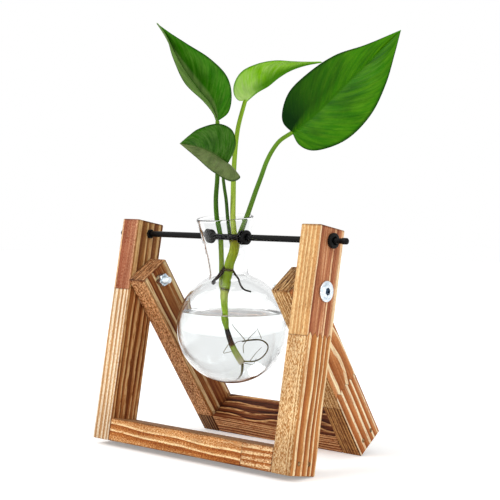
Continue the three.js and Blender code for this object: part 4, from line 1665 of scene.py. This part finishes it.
@dataclass
class Studio:
    """A pale floor, soft lamps, a white surround and the camera of the photograph."""

    floor_size: float = 6.0
    floor_steps: int = 12
    floor_colour: str = "#fbfbfa"
    near_glow: tuple[float, float] = (250.0, 0.28)
    far_glow: tuple[float, float] = (900.0, 0.45)
    ambient: float = 0.7
    lamp_size: float = 0.9
    lamp_aim: tuple[float, float, float] = (0.0, 0.0, 0.14)
    lens: float = 88.28
    camera_place: tuple[float, float, float] = (583.54, -667.32, 177.80)
    yaw: float = 40.69
    pitch: float = 2.03
    roll: float = 0.92

    def floor(self) -> None:
        """A plain pale floor that keeps the object's shadow."""
        mesh = bpy.data.meshes.new("floor")
        shape = bmesh.new()
        steps = self.floor_steps
        bmesh.ops.create_grid(shape, x_segments=steps, y_segments=steps, size=self.floor_size / 2)
        shape.to_mesh(mesh)
        shape.free()
        floor = put("floor", mesh)
        graph = Surface("pale_floor_paint")
        # The lamps fade with distance, so the paint further out makes up for it
        away = graph.add(Step.LENGTH, graph.place)
        (near, near_level), (far, far_level) = self.near_glow, self.far_glow
        glow = graph.add(Step.RANGE, away, near, far, near_level, far_level)
        mesh.materials.append(graph.finish(
            Base_Color=self.floor_colour, Roughness=0.9, Emission_Color=WHITE,
            Emission_Strength=graph.add(Step.TIMES, graph.backdrop_ray(), glow),
        ))

    def world(self) -> None:
        """Soft light from all round, and white behind the object."""
        world = bpy.data.worlds.new("studio")
        bpy.context.scene.world = world
        graph = Graph(world)
        level = graph.add(Step.RANGE, graph.backdrop_ray(), 0.0, 1.0, self.ambient, 1.0)
        graph.feed(graph.tree.nodes["Background"], {"Color": WHITE, "Strength": level})

    def lamp(self, name: str, place: Sequence[float], power: float) -> None:
        """A soft square lamp that faces the object.

        Args:
            name: The lamp's name.
            place: Where it is, in metres.
            power: Its watts.
        """
        data = bpy.data.lights.new(name, "AREA")
        data.size = self.lamp_size
        data.energy = power
        lamp = put(name, data)
        lamp.location = place
        aim = Vector(self.lamp_aim) - Vector(place)
        lamp.rotation_euler = aim.to_track_quat("-Z", "Y").to_euler()

    def camera(self) -> None:
        """The camera at the photograph's viewing angle."""
        yaw, pitch, roll = (math.radians(a) for a in (self.yaw, self.pitch, self.roll))
        ahead = Vector((-math.sin(yaw) * math.cos(pitch), math.cos(yaw) * math.cos(pitch), -math.sin(pitch)))
        right = Vector((math.cos(yaw), math.sin(yaw), 0))
        up = right.cross(ahead)
        across = right * math.cos(roll) + up * math.sin(roll)
        upward = up * math.cos(roll) - right * math.sin(roll)
        data = bpy.data.cameras.new("photo_camera")
        data.lens = self.lens
        data.sensor_width = 36.0
        data.clip_start = 0.02
        camera = put("photo_camera", data)
        turn = Matrix((across, upward, -ahead)).transposed().to_4x4()
        camera.matrix_world = Matrix.Translation(Vector(self.camera_place) * MM) @ turn
        bpy.context.scene.camera = camera

    def build(self) -> None:
        """Builds the floor, the light and the camera."""
        self.floor()
        self.world()
        self.lamp("key_lamp", (-0.5, -1.3, 1.3), power=14.0)
        self.lamp("fill_lamp", (1.5, -0.5, 0.8), power=7.0)
        self.camera()
        bpy.context.scene.view_settings.view_transform = "Standard"
        log.info("studio: camera, two lamps, floor and world")


# What each timber, leaf and stalk of this stand is like


BAR_SIDES = Cut(((-8, 1), (0, 1), (7, 1)), "#6a4428", "#94683f", "#c89a68")
FRONT_PINES = {
    "left": ScorchedPine(
        "pine_front_left",
        upper=Board(
            wide=Cut(
                ((-10.0, 3.0), (-2.2, 0.8), (2.6, 2.0), (9.6, 1.8)),
                "#6e3a1a", "#ab753f", "#dfb47c", stipple=0.15, waver=0.9, bands=0.5,
            ),
            narrow=Cut(((-7.2, 1.5),), "#944a30", "#be8260", "#f4c896", stipple=0.45, slant=0.012),
        ),
        lower=Board(
            wide=Cut(
                ((-11.4, 0.8), (-6.2, 0.7), (-1.6, 1.6), (4.6, 0.8), (9.0, 0.5), (12.2, 1.6)),
                "#6e3610", "#b2713c", "#deb078", stipple=0.15, waver=1.4, wave=46.0, bands=0.8, broken=0.6,
            ),
            narrow=Cut(
                ((-7.6, 1.2), (-3.8, 1.9), (0.7, 1.3), (4.5, 1.5), (7.6, 0.5)),
                "#b87e48", "#d8aa76", "#ffebcc", stipple=0.5, waver=0.4,
            ),
        ),
        joint_up=-10.0, seed=(11, 3, 40), foot_burn=0.22,
    ),
    "right": ScorchedPine(
        "pine_front_right",
        upper=Board(
            wide=Cut(
                ((-12.9, 0.8), (3.4, 1.4), (12.2, 2.4)),
                "#904a30", "#ca865c", "#ffe0b0", stipple=0.12, waver=0.6, bands=0.8,
            ),
            narrow=Cut(
                ((-5.2, 1.3), (-1.9, 0.6), (0.9, 0.7), (4.5, 1.0)),
                "#cc9056", "#dcaa70", "#f6d298", stipple=0.5, waver=0.4, broken=0.5,
            ),
        ),
        lower=Board(
            wide=Cut(
                ((-8.9, 2.0), (-1.6, 1.2), (3.4, 0.7), (7.4, 0.7), (12.2, 1.3)),
                "#9c4f20", "#d18c4c", "#ffe4b4", stipple=0.12, waver=1.3, wave=50.0, bands=0.35,
            ),
            narrow=Cut(
                ((4.6, 0.6), (7.0, 0.7)), "#b0743a", "#dfac70", "#ffdfac", stipple=1.0, bands=0.2,
            ),
        ),
        joint_up=-30.9, seed=(-23, 17, 5), foot_burn=0.3,
    ),
    "bar": ScorchedPine(
        "pine_front_bar",
        upper=Board(
            wide=BAR_SIDES,
            narrow=Cut(
                ((-5.6, 1.2), (-1.8, 1.3), (2.0, 1.3), (5.9, 1.1)),
                "#964e1c", "#c07c42", "#f6d6a4", stipple=0.9, waver=0.5, broken=0.55,
            ),
        ),
        lower=Board(
            wide=BAR_SIDES,
            narrow=Cut(
                ((-2.0, 0.9), (3.0, 0.8)), "#8c4216", "#cf8844", "#ffe0ac",
                stipple=0.6, waver=0.8, wave=40.0, slant=-0.03, bands=0.3,
            ),
        ),
        joint_up=51.0, seed=(7, -31, 19), top=200.0, arris_burn=0.8,
    ),
}
REAR_LEFT_RINGS = ((-10.2, 2.4), (-3.2, 1.3), (10.9, 2.2))
FINE_PALE_LINES = ((-6.9, 0.4), (-5.2, 0.7), (-2.8, 0.5), (-1.2, 0.4), (1.0, 0.7), (3.9, 0.4), (6.6, 0.6))
CHOCOLATE = Board(
    wide=Cut(
        ((-9.5, 0.7), (-4.0, 0.9), (2.0, 0.7), (8.5, 0.9)),
        "#341206", "#8a4824", "#f0b87a", stipple=0.1, waver=3.4, wave=48.0, slant=0.04, bands=0.6, broken=0.5,
    ),
    narrow=Cut(FINE_PALE_LINES, "#58260c", "#b87244", "#ecb880", stipple=0.35, waver=0.9, broken=0.5),
)
REAR_PINES = {
    "left": ScorchedPine(
        "pine_rear_left",
        upper=Board(
            wide=Cut(
                REAR_LEFT_RINGS, "#702e10", "#b0703a", "#f0d4a0",
                stipple=0.12, waver=1.1, wave=50.0, bands=0.7,
            ),
            narrow=Cut(((7.4, 0.7),), "#743412", "#d0864a", "#f8c48c", stipple=1.3, bands=0.3),
        ),
        lower=Board(
            wide=Cut(
                REAR_LEFT_RINGS, "#52230c", "#90582c", "#d8b080",
                stipple=0.2, waver=1.1, wave=50.0, bands=0.7,
            ),
            narrow=Cut(FINE_PALE_LINES, "#220c04", "#5a3014", "#b08050", stipple=0.3, waver=0.4),
        ),
        joint_up=-124, seed=(31, 9, -14), end_burn=0.9, top=9.0,
    ),
    "right": ScorchedPine(
        "pine_rear_right",
        upper=Board(
            wide=Cut(
                ((-7.5, 2.2), (2.0, 3.0), (11.5, 1.2)),
                "#9a5020", "#d08850", "#ffe8bc", stipple=0.12, waver=3.6, wave=42.0,
            ),
            narrow=Cut(FINE_PALE_LINES, "#8a5424", "#c48c50", "#f0cc94", stipple=0.9, broken=0.6),
        ),
        lower=Board(
            wide=Cut(
                ((-12.7, 0.9), (-6.4, 1.6), (0.6, 1.8), (6.2, 1.1), (11.4, 0.7)),
                "#a05420", "#cc824a", "#ffecc4", stipple=0.15, waver=0.3,
            ),
            narrow=Cut(FINE_PALE_LINES, "#44200a", "#9a6030", "#d09a5a", stipple=0.4, broken=0.5, bands=0.5),
        ),
        joint_up=-86.2, seed=(-9, -19, 27), end_burn=1.0, end_tint="#4e2e1c", top=9.0, narrow_drop=9.0,
    ),
    "bar": ScorchedPine("pine_rear_bar", CHOCOLATE, CHOCOLATE, joint_up=-200, seed=(17, 29, -33), top=200.0),
}

ROOT_BARK = PlantSkin(
    "dry_root_bark", ((0.0, "#3c2c10"), (0.6, "#2a1608"), (1.0, "#1e0e06")), "#0e0602",
    flecks=0.5, roughness=0.7,
)
WATER_ROOT = PlantSkin(
    "water_root_skin", ((0.0, "#7c7018"), (0.6, "#685c12"), (1.0, "#40340a")), "#342406",
    flecks=0.4, roughness=0.5,
)
LEFT_STALK_SKIN = PlantSkin(
    "stalk_skin_left",
    (
        (0.0, "#b0c050"), (0.1, "#98b034"), (0.29, "#7e9e24"), (0.37, "#44700c"), (0.6, "#3c6408"),
        (1.0, "#587f14"),
    ),
    "#34500c", flecks=0.25, roughness=0.36,
)
STEM_SKIN = PlantSkin(
    "cutting_stem_skin",
    (
        (0.0, "#7c6c18"), (0.03, "#a0a428"), (0.2, "#9cb81c"), (0.235, "#92ac18"), (0.25, "#3c2408"),
        (0.262, "#4c3a10"), (0.275, "#94b41c"), (0.41, "#a0c024"), (0.428, "#38240a"), (0.445, "#c8d468"),
        (0.5, "#c4da64"), (0.56, "#a4cc34"), (0.745, "#98c030"), (0.76, "#1c0a02"), (0.83, "#341604"),
        (0.865, "#5c340c"), (0.88, "#aec850"), (0.95, "#c8d080"), (1.0, "#fbf0d0"),
    ),
    "#5a4a10", flecks=0.35,
)


def stalk_skin(name: str, low: str, middle: str, high: str) -> PlantSkin:
    """The skin of a leaf stalk, by its colours at its foot, half way up and at its leaf."""
    return PlantSkin(name, ((0.0, low), (0.5, middle), (1.0, high)), low, flecks=0.2, roughness=0.36)


STEM = Stem(
    "cutting_stem", 3.6, 2.0,
    [
        (6.5, 3, -2), (5.8, 3, -9.5), (2.6, 4, -19.5), (1.6, 4.5, -26), (0.6, 4, -34.5),
        (-0.8, 3, -41), (-0.6, 2, -48), (1, 1, -59.6), (2.8, 0, -67.5), (6.3, -1, -76.7), (11.3, -2, -85),
    ],
    STEM_SKIN, "green_stem", steps=200,
)
STALKS = [
    Stalk(
        "petiole_left", 2.0, 1.5,
        [
            (-1.2, 8.2, -41), (-2.8, 8.5, -36), (-3.2, 8.9, -28), (-3.3, 9.4, -20), (-3.8, 10.6, -9.5),
            (-4.6, 11.2, 1.5), (-7, 11, 12), (-8, 9.5, 26), (-7.2, 8, 41), (-7, 6, 56), (-7.5, 4, 69),
            (-7.5, 2, 82),
        ],
        LEFT_STALK_SKIN, "green_stem",
    ),
    Stalk(
        "petiole_front", 1.4, 1.1,
        [
            (4.4, 4.4, -6.5), (3, 5, -1.5), (1.8, 5.4, 5.6), (0.8, 4.8, 13), (-0.5, 3, 26.5), (-2, 0, 36),
            (-2.6, -2, 43), (0, -4, 52),
        ],
        stalk_skin("stalk_skin_front", "#33450c", "#2e520a", "#476c14"), "green_stem",
    ),
    Stalk(
        "petiole_middle", 2.1, 1.5,
        [
            (6.5, 3, -2), (5, 4, 8), (4.5, 5, 16), (4.5, 6.5, 29.5), (4.5, 8, 43), (5, 9, 56),
            (6, 9, 69.5), (7.5, 8, 80), (12, 6, 97.5),
        ],
        stalk_skin("stalk_skin_middle", "#a9b84c", "#8aac2e", "#7fa61c"), "green_stem",
    ),
    Stalk(
        "petiole_right", 1.9, 1.5,
        [
            (8.6, 1.8, -0.5), (10.8, 1.2, 4.5), (15.2, 3, 16.5), (20.5, 5.5, 32.5), (24.2, 8, 43),
            (28, 10, 54), (32.2, 11, 62.5), (37.4, 11, 69.5), (46, 10, 75.5),
        ],
        stalk_skin("stalk_skin_right", "#56741a", "#4c7810", "#6a9418"), "green_stem",
    ),
    Stalk(
        "aerial_root_thick", 1.6, 1.2,
        [(-0.6, 3.2, -22.4), (-3.2, 2.2, -26), (-6.2, 1.2, -30.2), (-9, 0.3, -33.8)],
        ROOT_BARK, "brown_root", steps=30,
    ),
    Stalk(
        "aerial_root_thin", 0.8, 0.6,
        [
            (4.6, 4.2, -23.4), (6.6, 4.1, -26.6), (8.8, 3.9, -30.2), (11.4, 3.5, -35.8), (13.8, 3, -38),
            (18.2, 2, -39.2),
        ],
        ROOT_BARK, "brown_root", steps=50,
    ),
    Stalk(
        "water_root_loop", 0.5, 0.4,
        [
            (12.8, -3.1, -84.2), (15.9, -6, -84.6), (19.6, -8, -84.6), (23.6, -9, -83.1), (26.6, -8, -79.9),
            (27.3, -5, -76.4), (25.4, -1, -73.8), (21.4, 2, -71.9), (15.8, 4, -72), (10.8, 5, -72.9),
        ],
        WATER_ROOT, "brown_root", steps=120,
    ),
    Stalk(
        "water_root_down", 0.8, 0.5,
        [(11.7, -2.1, -86), (11.7, -2.8, -89.4), (11.2, -3.4, -93.3), (9.8, -3.8, -96.7), (7.9, -4, -99.3)],
        WATER_ROOT, "brown_root", steps=50,
    ),
]
HAIRS = [
    [(11.8, 1, -79), (11.9, -0.75, -74.7), (14, -2.5, -72), (17, -4.25, -68.8), (19.8, -6, -65.9)],
    [(22.9, -6, -70.6), (21.8, -8, -67.2), (20.7, -10, -64.2)],
    [(12.3, 4, -72), (9.6, 5.3, -68.9), (6.6, 6.7, -65.9), (5.1, 8, -64)],
    [(3.5, 0, -74.2), (0.6, -1.3, -79.3), (3, -2.7, -79), (5.9, -4, -78.3)],
    [(13, -2.6, -85.4), (18.4, -4.5, -86.3), (20.2, -6, -82.9)],
    [(16.2, -5.8, -84.4), (19.9, -5, -79.1), (23.4, -8, -76)],
    [(15.9, 3.8, -71.8), (12.5, 1, -72.2), (8.1, 3, -73.2), (5.8, 5, -75.4)],
]
LEAVES = [
    Leaf(
        "leaf_left", (-7.5, 2, 82), (-51, -10, 149.5),
        [(-12.5, 1, 94), (-21, 0, 104), (-29.5, -2, 115), (-38.5, -4, 129), (-45.5, -7, 141.5)],
        [
            (0.3, -2.4, 88.2), (2.5, -8, 101), (-1, -11, 113), (-13, -12, 125), (-29, -11, 135),
            (-42.5, -10, 143.5),
        ],
        [(-12, -4, 89), (-17.5, -14, 95), (-30, -22, 106.5), (-38.5, -22, 124), (-43.5, -16, 138.5)],
        # Its left half's grey-green is a painted sheen
        PothosLeaf(
            "leaf_left_blade_green", "#2a7000", "#74944e", "#143f00", "#7aa840", "#3c7a0c",
            mottle=0.35, painted_light_reach=0.2,
        ),
    ),
    Leaf(
        "leaf_front", (0, -4, 52), (-31.5, -46, 63.5),
        [(-7.5, -13, 57.5), (-15.5, -24, 61), (-24, -36, 63)],
        [(4, -5, 58.5), (6, -8, 66.5), (3.5, -12, 75), (-5.5, -20, 79), (-19.5, -32, 74.5), (-26, -40, 69)],
        [(7.5, -9, 45.5), (9.5, -12, 42), (4, -17, 39), (-9, -28, 45), (-21, -39, 55)],
        # Its left half's grey is a painted shade
        PothosLeaf(
            "leaf_front_blade_green", "#2a6200", "#6c784a", "#123800", "#80a058", "#3a5a18", mottle=0.35,
        ),
    ),
    Leaf(
        "leaf_middle", (12, 6, 97.5), (66, -4, 124.5),
        [(20, 5, 104), (28, 4, 108.5), (35, 3, 114), (43.5, 1, 119), (54, -1, 122.5)],
        [
            (7.5, 1, 97), (4, -5, 101), (4, -9, 107.5), (9, -12, 116), (19.5, -13, 121.5),
            (32.5, -11, 124.5), (45.5, -8, 124.5),
        ],
        [(9.5, 12, 99), (7, 17, 105), (9, 21, 112.5), (15.5, 22, 119), (26.5, 20, 123.5), (39.5, 13, 125)],
        # Its fold by the midrib takes a painted shade
        PothosLeaf(
            "leaf_middle_blade_green", "#80c206", "#78b80a", "#3e7c00", "#d2e4a0", "#569008",
            mottle=0.34, base_pale=0.42, fold_shade=0.95,
        ),
    ),
    Leaf(
        "leaf_right", (46, 10, 75.5), (122, 1, 149),
        [(56.5, 9, 83.5), (68, 8, 94.5), (83.5, 7, 110.5), (99, 5, 125.5), (110.5, 3, 138)],
        [
            (51, 5, 66.5), (59, 2, 62.5), (70.5, -1, 64), (86, -4, 71.5), (101.5, -5, 88.5),
            (111.5, -4, 110), (117.5, -1, 131),
        ],
        [(39.5, 7, 82), (38.5, 4, 89.5), (43, 1, 103.5), (55.5, -1, 116.5), (75, -1, 130), (97, 0, 138)],
        # Its lobe by the base takes a painted shade
        PothosLeaf(
            "leaf_right_blade_green", "#2e6e00", "#367c00", "#042c00", "#74aa1c", "#2c6400",
            base_shade=1.0, mottle=0.32, depth=0.45,
        ),
    ),
]


def dress_nails() -> None:
    """Gives the CAD's brads their dulled steel."""
    steel = ZincPlatedSteel(
        "brad_head_dulled_steel", bright="#a8895e", dull="#6b4526", roughness=0.5,
    ).material()
    for name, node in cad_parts.items():
        if "_nail_" in name:
            node.data.materials.clear()
            node.data.materials.append(steel)
    log.info("brads: eight CAD nodes with dulled steel")


def main() -> None:
    """Builds the dressed object and its studio."""
    logging.basicConfig(level=logging.INFO, format="%(name)s %(message)s")
    bpy.context.preferences.edit.use_global_undo = False
    Studio().build()
    rubber = MouldedRubber("black_moulded_rubber")
    WoodenFrame(
        "front", Body.FRONT, FRONT_LEAN, post_x=85.75, length=165.0, pivot_up=122.0,
        finishes=FRONT_PINES, rod_up=34.0,
    ).build()
    WoodenFrame(
        "rear", Body.REAR, REAR_LEAN, post_x=68.55, length=149.0, pivot_up=140.0, finishes=REAR_PINES,
    ).build()
    dress_nails()
    # The bolts' key sockets take a painted shade
    bolts = ZincPlatedSteel("zinc_plated_bolts", socket_shade_radius=2.5)
    PivotHardware(bolts, ZincPlatedSteel("zinc_plated_nuts", dull="#93a8b8", roughness=0.17)).build()
    HangingRod(BlackOxideSteel("black_oxide_steel"), rubber).build()
    GlassVase(BlownGlass("clear_blown_glass"), rubber, StillWater("still_water")).build()
    Cutting([STEM, *STALKS], LEAVES, HAIRS, WATER_ROOT).build()
    bpy.context.view_layer.update()


if __name__ == "__main__":
    main()
